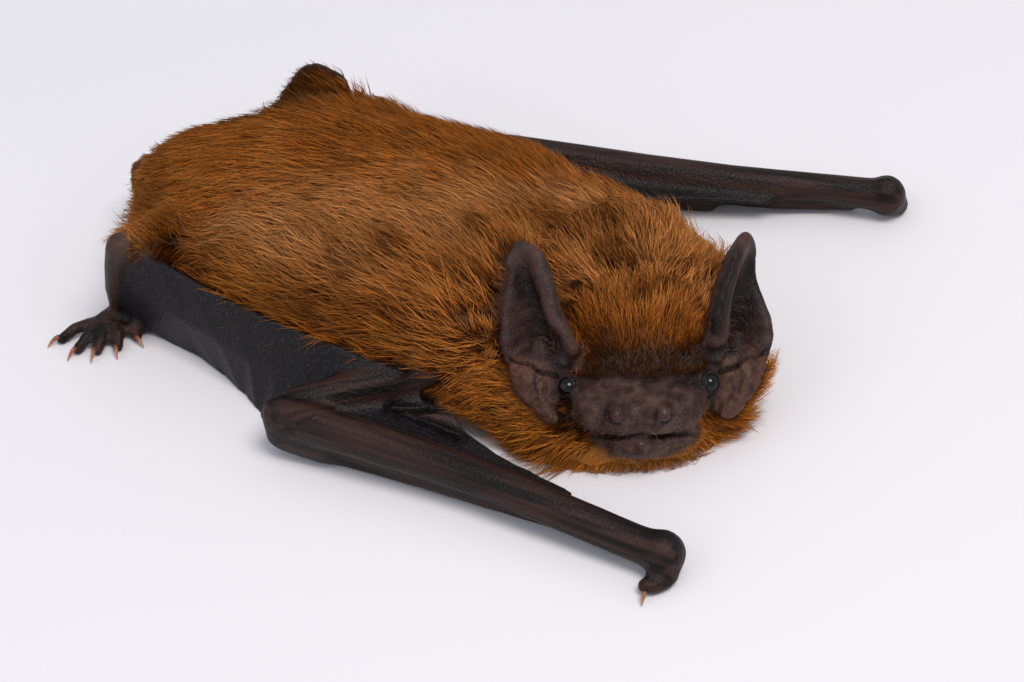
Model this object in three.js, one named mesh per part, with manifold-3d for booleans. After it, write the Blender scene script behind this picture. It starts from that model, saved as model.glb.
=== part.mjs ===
// A small tree bat resting on its belly, as a life-size still model.
// Millimetres, +Z up. The bat's spine runs along Y with the tail at +Y, its left side is +X, and z = 0 is the
// floor under its belly, wrists, thumbs, feet and tail. The head is turned to the bat's right and a little up.
import * as THREE from "three";
import { mergeVertices } from "three/addons/utils/BufferGeometryUtils.js";
import Module from "manifold-3d";

const wasm = await Module();
wasm.setup();

// ---- Driving dimensions -------------------------------------------------------------------------------

const GAP = 0.3; // clear space left between neighbouring pieces
const SKIN = 0.6; // thickness of ears and wing membranes
const SLIVER = 0.02; // faces thinner than this, left by trimming, are tidied away
const SIDES = { right: -1, left: 1 }; // x sign of each side of the body

const BODY_HALF_WIDTH = 17.4; // widest half of the trunk, with its coat
const BODY_HEIGHT = 19; // floor to the top of the back, with the coat
const RUMP_Y = 33.5; // where the trunk ends and the tail begins
const SHOULDER_Y = -9;

const HEAD_TURN = -61; // degrees about Z, towards the bat's right
const HEAD_LIFT = 17; // degrees, nose up
const NOSE = [-12.7, -27, 6.6]; // tip of the muzzle
const FACE_HALF_WIDTH = 6.3; // bare muzzle, across the glands of the snout
const CHEEK_HALF_WIDTH = 12.3; // head across the coat, below the ears
const CROWN_HALF_WIDTH = 6.7; // head across the coat, between the ears
const NAPE_Y = 15.5; // from the nose back to the end of the head
const EYE = { x: 6.65, y: 5.75, z: 2.5, radius: 1.0 };
const NOSTRIL = { x: 2.2, y: 1.0, z: 1.3, radius: 1.0, pit: 0.4 };

// Ear, base to tip: how far out, back and up its middle line lies from the nose, and its half width.
const EAR_LINE = [
  [9.8, 9.0, 3.2, 2.7],
  [9.8, 9.3, 6.0, 3.4],
  [9.9, 9.9, 8.2, 3.2],
  [10.0, 10.9, 10.6, 2.6],
  [10.5, 11.9, 12.8, 1.9],
  [11.0, 12.8, 14.7, 1.45],
];
const EAR_TURN = 14; // degrees by which each ear's mouth is turned outwards at its base
const EAR_TWIST = { right: 0, left: 42 }; // further degrees, reached half way up
const EAR_RIM = 0.62; // half thickness of the rolled front edge

const WRISTS = { right: [-22, -33.4, 2.6], left: [37.8, -30.4, 3.0] };
const ELBOWS = { right: [-24.2, 6.2, 4.9], left: [24.4, 8.8, 4.9] };
const SHOULDERS = { right: [-11, -5.2, 6], left: [12, -5.2, 6] };
const ARM_RADIUS = 1.9; // forearm at its middle
const FINGER_RADIUS = 0.46;
const FINGER_PITCH = 1.23; // between neighbouring folded fingers
const FINGER_SHIFT = { right: -0.3, left: 1.3 }; // outermost finger, outwards from the forearm's axis

const KNEE = { x: 17.2, y: 29, z: 13 };
const ANKLE = { x: 14.4, y: 33.4, z: 1.5 };
const TOE_ANGLES = [29, 6, -12, -33, -60]; // degrees from straight outwards, rearmost toe first
const TOE_REACH = [6.9, 6.7, 6.0, 5.2, 4.2]; // ankle to the end of each toe
const CLAW = { length: 1.5, radius: 0.42 };

const TAIL_TOP = [0.6, 41, 8.8]; // where the tail bends down behind the rump

// ---- Colours ------------------------------------------------------------------------------------------

const finish = (color, roughness) => new THREE.MeshStandardMaterial({ color, roughness, metalness: 0 });
const COAT = finish(0x8a5526, 0.9);
const HEAD_COAT = finish(0x7a4820, 0.9);
const BARE_SKIN = finish(0x3a2b28, 0.6);
const MEMBRANE = finish(0x232025, 0.65);
const EYE_GLOSS = finish(0x0a0a0c, 0.1);
const HORN = finish(0x9a5b3c, 0.4);

// ---- Shape helpers ------------------------------------------------------------------------------------

const UP = new THREE.Vector3(0, 0, 1);
const lerp = THREE.MathUtils.lerp;
const radians = THREE.MathUtils.degToRad;
const point = ([x, y, z]) => new THREE.Vector3(x, y, z);
const line = (points) => new THREE.CatmullRomCurve3(points.map(point));
const mix = (a, b, t) => a.map((value, i) => lerp(value, b[i], t));

// A closed geometry from its vertices and its triangles.
function surface(vertices, triangles) {
  const geometry = new THREE.BufferGeometry().setFromPoints(vertices);
  geometry.setIndex(triangles);
  return geometry;
}

// Triangles that close a stack of rings of `around` vertices between a first and a last single vertex.
function stack(count, around) {
  const last = 1 + count * around;
  const triangles = [];
  for (let i = 0; i < around; i++) {
    const next = (i + 1) % around;
    triangles.push(0, 1 + next, 1 + i);
    triangles.push(last, last - around + i, last - around + next);
    for (let r = 0; r + 1 < count; r++) {
      const [a, b] = [1 + r * around, 1 + (r + 1) * around];
      triangles.push(a + i, a + next, b + i, a + next, b + next, b + i);
    }
  }
  return triangles;
}

// A round-ended tube through stations [x, y, z, half width, half height, depth below the line]. `square` below 1
// makes its section boxier, `domes` sets how far its two ends bulge, and `grow` makes every size bigger.
function limb(stations, options = {}) {
  const { around = 10, steps = 6, caps = 2, grow = 0, up = UP, square = 1, domes = [] } = options;
  const centre = line(stations);
  const sizes = line(stations.map(([, , , wide, high, deep = high]) => [wide, high, deep]));
  const vertices = [];
  const power = (value) => Math.sign(value) * Math.pow(Math.abs(value), square);
  const ring = (t, angle) => {
    const ahead = centre.getTangent(t);
    const side = new THREE.Vector3().crossVectors(up, ahead).normalize();
    const top = new THREE.Vector3().crossVectors(ahead, side);
    const size = sizes.getPoint(t).addScalar(grow);
    const dome = (domes[t] ?? Math.min(size.x, size.y, size.z)) + (domes[t] ? grow : 0);
    const middle = centre.getPoint(t).addScaledVector(ahead, dome * Math.sin(angle));
    if (Math.abs(angle) === Math.PI / 2) {
      vertices.push(middle);
      return;
    }
    for (let i = 0; i < around; i++) {
      const turn = (2 * Math.PI * i) / around;
      const [across, rise] = [power(Math.cos(turn)), power(Math.sin(turn))];
      const reach = Math.cos(angle) * across * size.x;
      const height = Math.cos(angle) * rise * (rise > 0 ? size.y : size.z);
      vertices.push(middle.clone().addScaledVector(side, reach).addScaledVector(top, height));
    }
  };
  for (let k = -caps; k < 0; k++) ring(0, (k / caps) * (Math.PI / 2));
  for (let j = 0; j <= steps; j++) ring(j / steps, 0);
  for (let k = 1; k <= caps; k++) ring(1, (k / caps) * (Math.PI / 2));
  return surface(vertices, stack(steps + 1 + 2 * (caps - 1), around));
}

// A leaf of even thickness over the surface at(u, v), with u and v from 0 to 1.
function leaf(at, { across = 8, along = 10, thick = SKIN, grow = 0 } = {}) {
  const half = thick / 2 + grow;
  const small = 1e-3;
  const front = [];
  const back = [];
  for (let j = 0; j <= along; j++) {
    for (let i = 0; i <= across; i++) {
      const [u, v] = [i / across, j / along];
      const middle = at(u, v);
      const du = at(Math.min(u + small, 1), v).sub(at(Math.max(u - small, 0), v));
      const dv = at(u, Math.min(v + small, 1)).sub(at(u, Math.max(v - small, 0)));
      const normal = du.cross(dv).normalize();
      front.push(middle.clone().addScaledVector(normal, half));
      back.push(middle.clone().addScaledVector(normal, -half));
    }
  }
  const row = across + 1;
  const behind = front.length;
  const triangles = [];
  for (let j = 0; j < along; j++) {
    for (let i = 0; i < across; i++) {
      const a = j * row + i;
      const [b, c, d] = [a + 1, a + row + 1, a + row];
      triangles.push(a, b, c, a, c, d);
      triangles.push(behind + a, behind + c, behind + b, behind + a, behind + d, behind + c);
    }
  }
  const rim = (a, b) => triangles.push(a, behind + b, b, a, behind + a, behind + b);
  for (let i = 0; i < across; i++) {
    rim(i, i + 1);
    rim(along * row + i + 1, along * row + i);
  }
  for (let j = 0; j < along; j++) {
    rim((j + 1) * row, j * row);
    rim(j * row + across, (j + 1) * row + across);
  }
  return surface([...front, ...back], triangles);
}

// A membrane hung between two lines, standing out by `bulge` at its middle along `out`.
function web(edgeA, edgeB, { bulge = 0, out = [0, 0, 1], ...rest } = {}) {
  const [a, b] = [line(edgeA), line(edgeB)];
  const push = point(out);
  const at = (u, v) => {
    const spot = a.getPoint(v).lerp(b.getPoint(v), u);
    return spot.addScaledVector(push, bulge * Math.sin(Math.PI * u) * Math.sin(Math.PI * Math.min(v + 0.15, 1)));
  };
  return leaf(at, rest);
}

// A sphere, or an ellipsoid where the three radii differ.
function ball([x, y, z], radii, { around = 12, grow = 0 } = {}) {
  const [rx, ry, rz] = [radii].flat().length === 3 ? radii : [radii, radii, radii];
  const geometry = new THREE.SphereGeometry(1, around, Math.round(around * 0.7));
  geometry.scale(rx + grow, ry + grow, rz + grow);
  geometry.translate(x, y, z);
  return geometry;
}

// ---- Solids -------------------------------------------------------------------------------------------

function solid(geometry, matrix) {
  const bare = geometry.clone().applyMatrix4(matrix);
  bare.deleteAttribute("normal");
  bare.deleteAttribute("uv");
  const merged = mergeVertices(bare, 1e-4);
  const made = new wasm.Manifold(
    new wasm.Mesh({
      numProp: 3,
      vertProperties: merged.attributes.position.array,
      triVerts: new Uint32Array(merged.index.array),
    }),
  );
  if (made.volume() > 0) return made;
  const turned = new Uint32Array(merged.index.array).reverse();
  return new wasm.Manifold(
    new wasm.Mesh({ numProp: 3, vertProperties: merged.attributes.position.array, triVerts: turned }),
  );
}

const fuse = (geometries, matrix) =>
  geometries.map((geometry) => solid(geometry, matrix)).reduce((whole, next) => whole.add(next));

const largest = (whole) =>
  whole.decompose().reduce((best, next) => (next.volume() > best.volume() ? next : best));

const FLOOR_SLAB = 400;
const belowFloor = solid(
  new THREE.BoxGeometry(FLOOR_SLAB, FLOOR_SLAB, FLOOR_SLAB).translate(0, 0, -FLOOR_SLAB / 2),
  new THREE.Matrix4(),
);

function toGeometry(whole, inverse) {
  const mesh = whole.getMesh();
  const vertices = [];
  for (let i = 0; i < mesh.numVert; i++) {
    const at = i * mesh.numProp;
    vertices.push(new THREE.Vector3().fromArray(mesh.vertProperties, at));
  }
  const geometry = surface(vertices, [...mesh.triVerts]).applyMatrix4(inverse);
  geometry.computeVertexNormals();
  return geometry;
}

// ---- Groups -------------------------------------------------------------------------------------------

const bat = new THREE.Group();

// The head's own frame: origin at the tip of the nose, -Y out of the face, +X to the bat's left.
const head = new THREE.Group();
head.position.set(...NOSE);
head.rotation.set(-radians(HEAD_LIFT), 0, radians(HEAD_TURN), "ZYX");
bat.add(head);

// A foot's own frame: origin on the floor below the ankle.
const feet = {};
for (const [side, sign] of Object.entries(SIDES)) {
  feet[side] = new THREE.Group();
  feet[side].position.set(sign * ANKLE.x, ANKLE.y, 0);
  bat.add(feet[side]);
}
bat.updateMatrixWorld(true);

// ---- Head ---------------------------------------------------------------------------------------------

// The top of the head out to the tips of the coat, narrow between the ears and wide behind them.
function crown(grow) {
  const wide = CROWN_HALF_WIDTH;
  const stations = [
    [0, 8.6, 2.2, wide * 0.98, 3.4, 4],
    [0, 11, 3.2, wide, 5.8, 5],
    [0, 14.6, 3.6, wide * 1.38, 9.0, 7],
    [0, 18.5, 3.6, wide * 1.7, 10.4, 8],
  ];
  return limb(stations, { around: 12, steps: 4, grow, square: 0.9, domes: [2, 4.5] });
}

// The cheeks and the nape, with the ears standing on them.
function cheeks(grow) {
  const wide = CHEEK_HALF_WIDTH;
  const stations = [
    [0, 9, -0.6, wide * 0.8, 3.6, 3.6],
    [0, 11.5, -0.2, wide * 0.97, 4.2, 5],
    [0, 17, 1.8, wide, 6, 7],
  ];
  return limb(stations, { around: 12, steps: 3, grow, square: 0.9, domes: [2.2, 3] });
}

// The bare, swollen snout from the lip up to the brow.
function snout(grow) {
  const wide = FACE_HALF_WIDTH;
  const stations = [
    [0, 2.0, 0.7, wide * 0.62, 1.5, 1.7],
    [0, 3.6, 0.7, wide * 0.9, 2.0, 2.3],
    [0, 5.8, 0.8, wide * 1.04, 2.4, 2.9],
    [0, 8.6, 1.2, wide * 1.05, 3, 3],
  ];
  return limb(stations, { around: 10, steps: 2, grow, square: 0.8, domes: [1.3, 2] });
}

const nostrilPad = (sign, grow) =>
  ball([sign * NOSTRIL.x, NOSTRIL.y + 0.4, NOSTRIL.z], NOSTRIL.radius, { around: 6, grow });

const gland = (sign, grow) => ball([sign * 4.2, 3.9, 0.7], [2.1, 2.1, 1.9], { around: 6, grow });

function muzzle(grow) {
  const pads = Object.values(SIDES).flatMap((sign) => [gland(sign, grow), nostrilPad(sign, grow)]);
  return [snout(grow), ...pads];
}

// Where the head ends and the neck begins: everything behind a plane across the nape, in the head's frame, and
// everything in front of a second plane one gap further back, in the bat's.
const behindNape = () => new THREE.BoxGeometry(80, 80, 80).translate(0, NAPE_Y + 40, 0);
const beforeNape = () =>
  new THREE.BoxGeometry(80, 80, 80).translate(0, NAPE_Y + GAP - 40, 0).applyMatrix4(head.matrix);

const nostrilPits = () =>
  Object.values(SIDES).map((sign) =>
    ball([sign * (NOSTRIL.x + 0.45), NOSTRIL.y - 0.55, NOSTRIL.z - 0.45], NOSTRIL.pit, { around: 5 }),
  );

// The bare lower lip and chin.
function jaw(grow) {
  const wide = FACE_HALF_WIDTH;
  const stations = [
    [0, 2.6, -2.35, wide * 0.45, 0.9, 1.2],
    [0, 4.8, -2.9, wide * 0.85, 1.0, 2.2],
    [0, 7.6, -3.1, wide * 1.1, 1.1, 2.8],
  ];
  return limb(stations, { around: 12, steps: 2, grow, square: 0.85, domes: [1.2, 2] });
}

// The coat of the throat, which rests on the floor below the chin.
function throat(grow) {
  const wide = FACE_HALF_WIDTH;
  const stations = [
    [-0.5, 4.2, -4.4, wide * 1.1, 1.4, 1.8],
    [-0.9, 7, -3.5, wide * 1.7, 2.2, 3.2],
    [-1.2, 11, -2.6, wide * 2.05, 3.4, 4.6],
  ];
  return limb(stations, { around: 12, steps: 3, grow, domes: [1.8, 2] });
}

const eye = (sign, grow) => ball([sign * EYE.x, EYE.y, EYE.z], EYE.radius, { around: 8, grow });

// The ear's surface: u runs from its front edge across the back to its outer edge, v from base to tip.
function earSurface(side) {
  const sign = SIDES[side];
  const middle = line(EAR_LINE);
  const width = line(EAR_LINE.map(([, , , half]) => [half, 0, 0]));
  return (u, v) => {
    const rounded = v > 0.85 ? Math.sqrt(Math.max(1 - Math.pow((v - 0.85) / 0.15, 2), 0.01)) : 1;
    const half = width.getPoint(v).x * rounded;
    const across = 2 * u - 1;
    const cup = half * 0.95 * (1 - across * across) * (1.1 - 0.6 * v);
    const turn = radians(EAR_TURN + EAR_TWIST[side] * THREE.MathUtils.smoothstep(v, 0.1, 0.6));
    const spot = middle.getPoint(v);
    spot.x += half * across * Math.cos(turn) - cup * Math.sin(turn);
    spot.y += half * across * Math.sin(turn) + cup * Math.cos(turn);
    spot.x *= sign;
    return spot;
  };
}

// A pinna: a thin cup with a rolled front edge that ends in a knob at the base.
function pinna(side, grow) {
  const at = earSurface(side);
  const shell = leaf(at, { across: 4, along: 7, thick: SKIN, grow });
  const rim = [0.04, 0.15, 0.4, 0.65, 0.88].map((v) => {
    const { x, y, z } = at(0.02, v);
    const size = EAR_RIM * (1.3 - 0.62 * v);
    return [x, y - 0.15, z, size, size];
  });
  return [shell, limb(rim, { around: 5, steps: 4, grow, up: new THREE.Vector3(0, 1, 0) })];
}

// The short rounded lobe that stands in front of the ear's opening.
const tragus = (sign, grow) =>
  limb(
    [
      [sign * 9.0, 8.7, 3.4, 0.9, 0.35],
      [sign * 9.1, 9.0, 4.8, 0.8, 0.35],
      [sign * 9.2, 9.4, 5.8, 1.0, 0.35],
    ],
    { around: 6, steps: 2, grow, up: new THREE.Vector3(0, 1, 0) },
  );

// The bare fold that runs from the ear's outer edge down behind the eye to the corner of the mouth.
const earLobe = (sign, grow) =>
  web(
    [
      [sign * 12.3, 9.0, 4.0],
      [sign * 11.7, 7.6, 1.8],
      [sign * 9.0, 5.4, -1.0],
    ],
    [
      [sign * 9.0, 7.4, 3.7],
      [sign * 8.7, 6.5, 1.8],
      [sign * 7.4, 5.0, -0.8],
    ],
    { bulge: 0.5, out: [sign * 0.6, -0.8, 0.1], across: 2, along: 4, thick: 0.9, grow },
  );

// ---- Trunk and tail -----------------------------------------------------------------------------------

function trunk(grow) {
  const wide = BODY_HALF_WIDTH;
  const high = BODY_HEIGHT / 2;
  const stations = [
    [1.6, SHOULDER_Y + 3, high * 0.88, wide * 0.9, high * 1.0, high * 0.92],
    [1.5, SHOULDER_Y + 10, high * 0.9, wide, high * 1.09, high],
    [0.8, SHOULDER_Y + 18, high * 0.92, wide * 1.0, high * 1.08, high],
    [0.5, SHOULDER_Y + 27, high * 0.92, wide * 0.97, high * 1.02, high],
    [0.5, RUMP_Y - 8, high * 0.88, wide * 0.86, high * 0.96, high * 0.96],
    [0.5, RUMP_Y - 3, high * 0.88, wide * 0.66, high * 0.74, high * 0.8],
    [0.5, RUMP_Y + 2, high * 0.9, wide * 0.42, high * 0.5, high * 0.5],
  ];
  return limb(stations, { around: 16, steps: 8, caps: 3, grow, domes: [4.5, 3] });
}

// The thick coat between head and shoulders, bunched on the left because the head is turned right.
const neck = (grow) =>
  limb(
    [
      [-2.3, -21.1, 7.2, 11.1, 5.5, 8.5],
      [3.4, -15.5, 8.1, 12, 8.4, 9.3],
      [4.0, SHOULDER_Y + 1, 8.4, 12.9, 9.5, 9.6],
    ],
    { around: 14, steps: 3, grow, domes: [2, 2] },
  );

// The ruff of the chest, which spreads over the floor below the right ear.
const ruff = (grow) =>
  limb(
    [
      [-6.4, -20, 3.0, 8.2, 2.4, 3.2],
      [-4.6, -14.5, 3.6, 11.2, 3.2, 3.8],
      [-2.4, -8, 4.4, 12.6, 4.2, 4.6],
    ],
    { around: 10, steps: 2, grow, domes: [1.8, 2] },
  );

// The tail leaves the rump, bends down to the floor and is tucked forward under it.
function tail(grow) {
  const [x, y, z] = TAIL_TOP;
  const stations = [
    [x, RUMP_Y + 2, z - 0.4, 2.0, 1.9],
    [x, y - 2.8, z + 0.1, 1.6, 1.5],
    [x, y - 0.4, z - 0.8, 1.25, 1.2],
    [x, y + 0.4, z - 3.6, 1.1, 1.1],
    [x, y - 1.2, 1.7, 0.9, 0.9],
    [x, y - 5, 0.7, 0.75, 0.75],
    [x, y - 9, 0.5, 0.6, 0.6],
  ];
  return limb(stations, { around: 7, steps: 8, grow, up: new THREE.Vector3(1, 0, 0) });
}

// Half of the tail membrane: a furred skirt from the shin round to the tail.
function tailSkirt(sign, grow) {
  const [x, y, z] = TAIL_TOP;
  return web(
    [
      [sign * (KNEE.x - 3.2), KNEE.y + 1.4, KNEE.z - 4.0],
      [sign * 9.6, 32.6, 9.6],
      [x + sign * 4.6, 36.2, 9.4],
      [x + sign * 0.9, y - 1.6, z - 0.4],
    ],
    [
      [sign * (ANKLE.x - 1.2), ANKLE.y + 0.6, 0.9],
      [sign * 9.4, 37.4, -0.4],
      [x + sign * 4.4, y - 0.4, -0.4],
      [x + sign * 0.8, y, -0.4],
    ],
    { bulge: 0.9, out: [sign * 0.2, 0.9, 0.3], across: 2, along: 4, thick: 1.2, grow },
  );
}

// ---- Arms ---------------------------------------------------------------------------------------------

function upperArm(side, grow) {
  const [from, to] = [SHOULDERS[side], ELBOWS[side]];
  const near = mix(from, to, 0.5);
  const stations = [
    [...from, 2.6, 2.4],
    [near[0], near[1], near[2] + 0.2, 1.9, 1.9],
    [to[0] - SIDES[side] * 1.9, to[1] - 0.6, to[2] + 0.5, 1.5, 1.5],
  ];
  return limb(stations, { around: 8, steps: 3, grow });
}

function forearm(side, grow) {
  const [from, to] = [ELBOWS[side], WRISTS[side]];
  const bow = (t, out) => {
    const spot = mix(from, to, t);
    return [spot[0] - SIDES[side] * out, spot[1], spot[2]];
  };
  const stations = [
    [...from, ARM_RADIUS * 0.95, ARM_RADIUS * 1.12],
    [...bow(0.22, 0.6), ARM_RADIUS * 1.05, ARM_RADIUS * 1.12],
    [...bow(0.5, 1.0), ARM_RADIUS, ARM_RADIUS],
    [...bow(0.8, 0.5), ARM_RADIUS * 0.84, ARM_RADIUS * 0.86],
    [...to, ARM_RADIUS * 0.86, ARM_RADIUS * 0.88],
  ];
  return limb(stations, { around: 9, steps: 5, grow });
}

const wrist = (side, grow) => {
  const [x, y, z] = WRISTS[side];
  return ball([x, y - 0.6, z - 0.3], [2.2, 2.2, 2.5], { around: 9, grow });
};

// The thumb leaves the wrist on its outer side and curls down to the floor.
function thumb(side, grow) {
  const [x, y] = WRISTS[side];
  const out = SIDES[side];
  const stations = [
    [x + out * 0.8, y - 1.8, 0.9, 1.0, 1.0],
    [x + out * 2.2, y - 1.5, 0.8, 1.0, 0.95],
    [x + out * 3.1, y - 0.4, 0.8, 1.0, 0.9],
  ];
  return limb(stations, { around: 6, steps: 3, grow });
}

function thumbClaw(side, grow) {
  const [x, y] = WRISTS[side];
  const out = SIDES[side];
  const stations = [
    [x + out * 3.6, y - 0.5, 0.8, CLAW.radius * 1.1, CLAW.radius * 1.2],
    [x + out * 4.4, y - 0.7, 0.7, CLAW.radius * 0.7, CLAW.radius * 0.8],
    [x + out * 4.9, y - 0.9, 0.2, 0.14, 0.14],
  ];
  return limb(stations, { around: 5, steps: 2, caps: 1, grow });
}

// A folded finger: the palm bone runs back under the forearm to the elbow, where the finger doubles under it.
// Finger 3 lies outermost and finger 5 innermost.
function finger(side, number, grow) {
  const out = SIDES[side] * (3 - number) * FINGER_PITCH;
  const [from, to] = [WRISTS[side], ELBOWS[side]];
  const back = { 3: -0.5, 4: -0.4, 5: -0.7 }[number];
  const spot = (t, shift, z) => {
    const [x, y] = mix(from, to, t);
    const bow = SIDES[side] * Math.sin(Math.PI * t);
    return [x - bow + SIDES[side] * FINGER_SHIFT[side] + out * Math.min(1, 0.35 + 3 * t), y + shift, z];
  };
  const stations = [
    [...spot(0.07, 0, 0.6), FINGER_RADIUS, FINGER_RADIUS],
    [...spot(0.3, 0, 1.25), FINGER_RADIUS, FINGER_RADIUS * 1.2],
    [...spot(0.6, 0, 1.7), FINGER_RADIUS, FINGER_RADIUS * 1.2],
    [...spot(0.97, back, 1.75), FINGER_RADIUS, FINGER_RADIUS * 1.3],
    [...spot(1.0, back + 0.75, 1.1), FINGER_RADIUS, FINGER_RADIUS * 1.2],
    [...spot(0.97, back, 0.45), FINGER_RADIUS, FINGER_RADIUS * 1.1],
    [...spot(0.6, 0, 0.4), FINGER_RADIUS, FINGER_RADIUS],
    [...spot(0.42, 0, 0.35), FINGER_RADIUS * 0.9, FINGER_RADIUS * 0.9],
  ];
  return limb(stations, { around: 4, steps: 8, grow, up: new THREE.Vector3(1, 0, 0) });
}

// The web of skin in the crook of the arm, which narrows to a strip along the front of the forearm.
function armWeb(side, grow) {
  const [shoulder, elbow, hand] = [SHOULDERS[side], ELBOWS[side], WRISTS[side]];
  const inner = (t, off, z) => {
    const [x, y] = mix(elbow, hand, t);
    return [x - SIDES[side] * (ARM_RADIUS * 0.9 + off), y, z];
  };
  const crook = mix(elbow, shoulder, 0.5);
  return web(
    [inner(0.03, 0.2, 5), inner(0.25, 0.9, 4.4), inner(0.5, 1, 3.6), inner(0.75, 0.5, 3)],
    [[crook[0], crook[1], 5.6], inner(0.3, 6.2, 4.4), inner(0.5, 3.4, 3.5), inner(0.74, 1.9, 2.6)],
    { bulge: -0.5, across: 2, along: 7, grow },
  );
}

// The side membrane hangs like a curtain from the flank to the floor, from the shin to the elbow.
function sideMembrane(side, grow) {
  const sign = SIDES[side];
  const [elbowX, elbowY] = ELBOWS[side];
  return web(
    [
      [sign * (KNEE.x - 0.6), KNEE.y - 0.2, KNEE.z - 0.6],
      [sign * 15.5, 24, 10.8],
      [sign * 16.3, 15, 9.6],
      [sign * 16.6, 7, 9.2],
      [sign * 15.6, -3.5, 7.4],
    ],
    [
      [sign * (ANKLE.x + 0.5), ANKLE.y - 1.6, 1.0],
      [sign * 15.2, 23.4, -0.4],
      [sign * 17.6, 16.4, -0.4],
      [sign * 20.4, 11.4, -0.4],
      [elbowX - sign * 0.6, elbowY + 1.4, 2.2],
    ],
    { bulge: 1.0, out: [sign, 0, 0.3], across: 2, along: 7, thick: 0.8, grow },
  );
}

// ---- Legs ---------------------------------------------------------------------------------------------

const thigh = (sign, grow) =>
  limb(
    [
      [sign * 7, 27.5, 8.6, 3.4, 3.4],
      [sign * 12, 28.2, 11.0, 2.8, 2.7],
      [sign * (KNEE.x - 0.8), KNEE.y, KNEE.z - 0.1, 1.8, 1.75],
    ],
    { around: 8, steps: 3, grow },
  );

const shin = (sign, grow) =>
  limb(
    [
      [sign * KNEE.x, KNEE.y, KNEE.z, 1.7, 1.7],
      [sign * (KNEE.x - 0.4), KNEE.y + 1.9, lerp(KNEE.z, ANKLE.z, 0.4), 1.25, 1.25],
      [sign * ANKLE.x, ANKLE.y, ANKLE.z, 1.2, 1.2],
    ],
    { around: 8, steps: 3, grow, up: new THREE.Vector3(1, 0, 0) },
  );

// The five toes fan out over the floor from a short sole.
function toeEnd(sign, toe, reach) {
  const angle = radians(TOE_ANGLES[toe]);
  return [sign * reach * Math.cos(angle), reach * Math.sin(angle)];
}

function foot(sign, grow) {
  const sole = limb(
    [
      [0, 0, 1.0, 1.2, 1.1],
      [sign * 1.5, -0.1, 1.0, 1.6, 1.1],
      [sign * 2.9, -0.3, 1.0, 2.1, 0.95],
    ],
    { around: 8, steps: 2, grow },
  );
  const toes = TOE_ANGLES.map((_, toe) => {
    const reach = TOE_REACH[toe];
    const stations = [
      [...toeEnd(sign, toe, reach * 0.35), 0.9, 0.55, 0.6],
      [...toeEnd(sign, toe, reach * 0.75), 1.15, 0.52, 0.55],
      [...toeEnd(sign, toe, reach), 0.45, 0.42, 0.45],
    ];
    return limb(stations, { around: 5, steps: 2, caps: 1, grow });
  });
  return [sole, ...toes];
}

function footClaw(sign, toe, grow) {
  const reach = TOE_REACH[toe];
  const stations = [
    [...toeEnd(sign, toe, reach + 0.1), 0.6, CLAW.radius, CLAW.radius],
    [...toeEnd(sign, toe, reach + CLAW.length * 0.6), 0.6, CLAW.radius * 0.7, CLAW.radius * 0.7],
    [...toeEnd(sign, toe, reach + CLAW.length), 0.15, 0.12, 0.12],
  ];
  return limb(stations, { around: 5, steps: 2, caps: 1, grow });
}

// ---- Assembly -----------------------------------------------------------------------------------------

// Nodes in the order in which they keep their shape: each one is trimmed by all those before it.
const nodes = [];
const add = (name, group, material, shapes, cuts = () => []) =>
  nodes.push({ name, group, material, shapes: (grow) => [shapes(grow)].flat(), cuts });

for (const [side, sign] of Object.entries(SIDES)) add(`${side}_eye`, head, EYE_GLOSS, (g) => eye(sign, g));
add("lower_jaw", head, BARE_SKIN, jaw);
add("muzzle", head, BARE_SKIN, muzzle, nostrilPits);
add("head", head, HEAD_COAT, (g) => [crown(g), cheeks(g)], () => [behindNape()]);
for (const [side, sign] of Object.entries(SIDES)) {
  add(`${side}_tragus`, head, BARE_SKIN, (g) => tragus(sign, g));
  add(`${side}_ear`, head, BARE_SKIN, (g) => pinna(side, g));
  add(`${side}_ear_lobe`, head, BARE_SKIN, (g) => earLobe(sign, g));
}
add("trunk", bat, COAT, trunk);
add("throat", head, COAT, throat);
add("neck", bat, COAT, neck, () => [beforeNape()]);
add("chest", bat, COAT, ruff);
add("tail", bat, BARE_SKIN, tail);
for (const [side, sign] of Object.entries(SIDES)) {
  add(`${side}_wrist`, bat, BARE_SKIN, (g) => wrist(side, g));
  add(`${side}_thumb`, bat, BARE_SKIN, (g) => thumb(side, g));
  add(`${side}_thumb_claw`, bat, HORN, (g) => thumbClaw(side, g));
  add(`${side}_forearm`, bat, BARE_SKIN, (g) => forearm(side, g));
  add(`${side}_upper_arm`, bat, BARE_SKIN, (g) => upperArm(side, g));
  for (const number of [3, 4, 5]) {
    add(`${side}_finger_${number}`, bat, MEMBRANE, (g) => finger(side, number, g));
  }
  add(`${side}_foot`, feet[side], BARE_SKIN, (g) => foot(sign, g));
  add(`${side}_shin`, bat, BARE_SKIN, (g) => shin(sign, g));
  add(`${side}_thigh`, bat, COAT, (g) => thigh(sign, g));
  TOE_ANGLES.forEach((_, toe) => {
    add(`${side}_claw_${toe + 1}`, feet[side], HORN, (g) => footClaw(sign, toe, g));
  });
  add(`${side}_side_membrane`, bat, MEMBRANE, (g) => sideMembrane(side, g));
  add(`${side}_arm_web`, bat, MEMBRANE, (g) => armWeb(side, g));
  add(`${side}_tail_membrane`, bat, COAT, (g) => tailSkirt(sign, g));
}

const trimmers = [];
for (const { name, group, material, shapes, cuts } of nodes) {
  const matrix = group.matrixWorld;
  let whole = fuse(shapes(0), matrix).subtract(belowFloor);
  for (const cut of cuts()) whole = whole.subtract(solid(cut, matrix));
  for (const trimmer of trimmers) whole = whole.subtract(trimmer);
  trimmers.push(fuse(shapes(GAP), matrix));
  const tidied = largest(whole).simplify(SLIVER);
  const mesh = new THREE.Mesh(toGeometry(tidied, matrix.clone().invert()), material);
  mesh.name = name;
  group.add(mesh);
}

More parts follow.
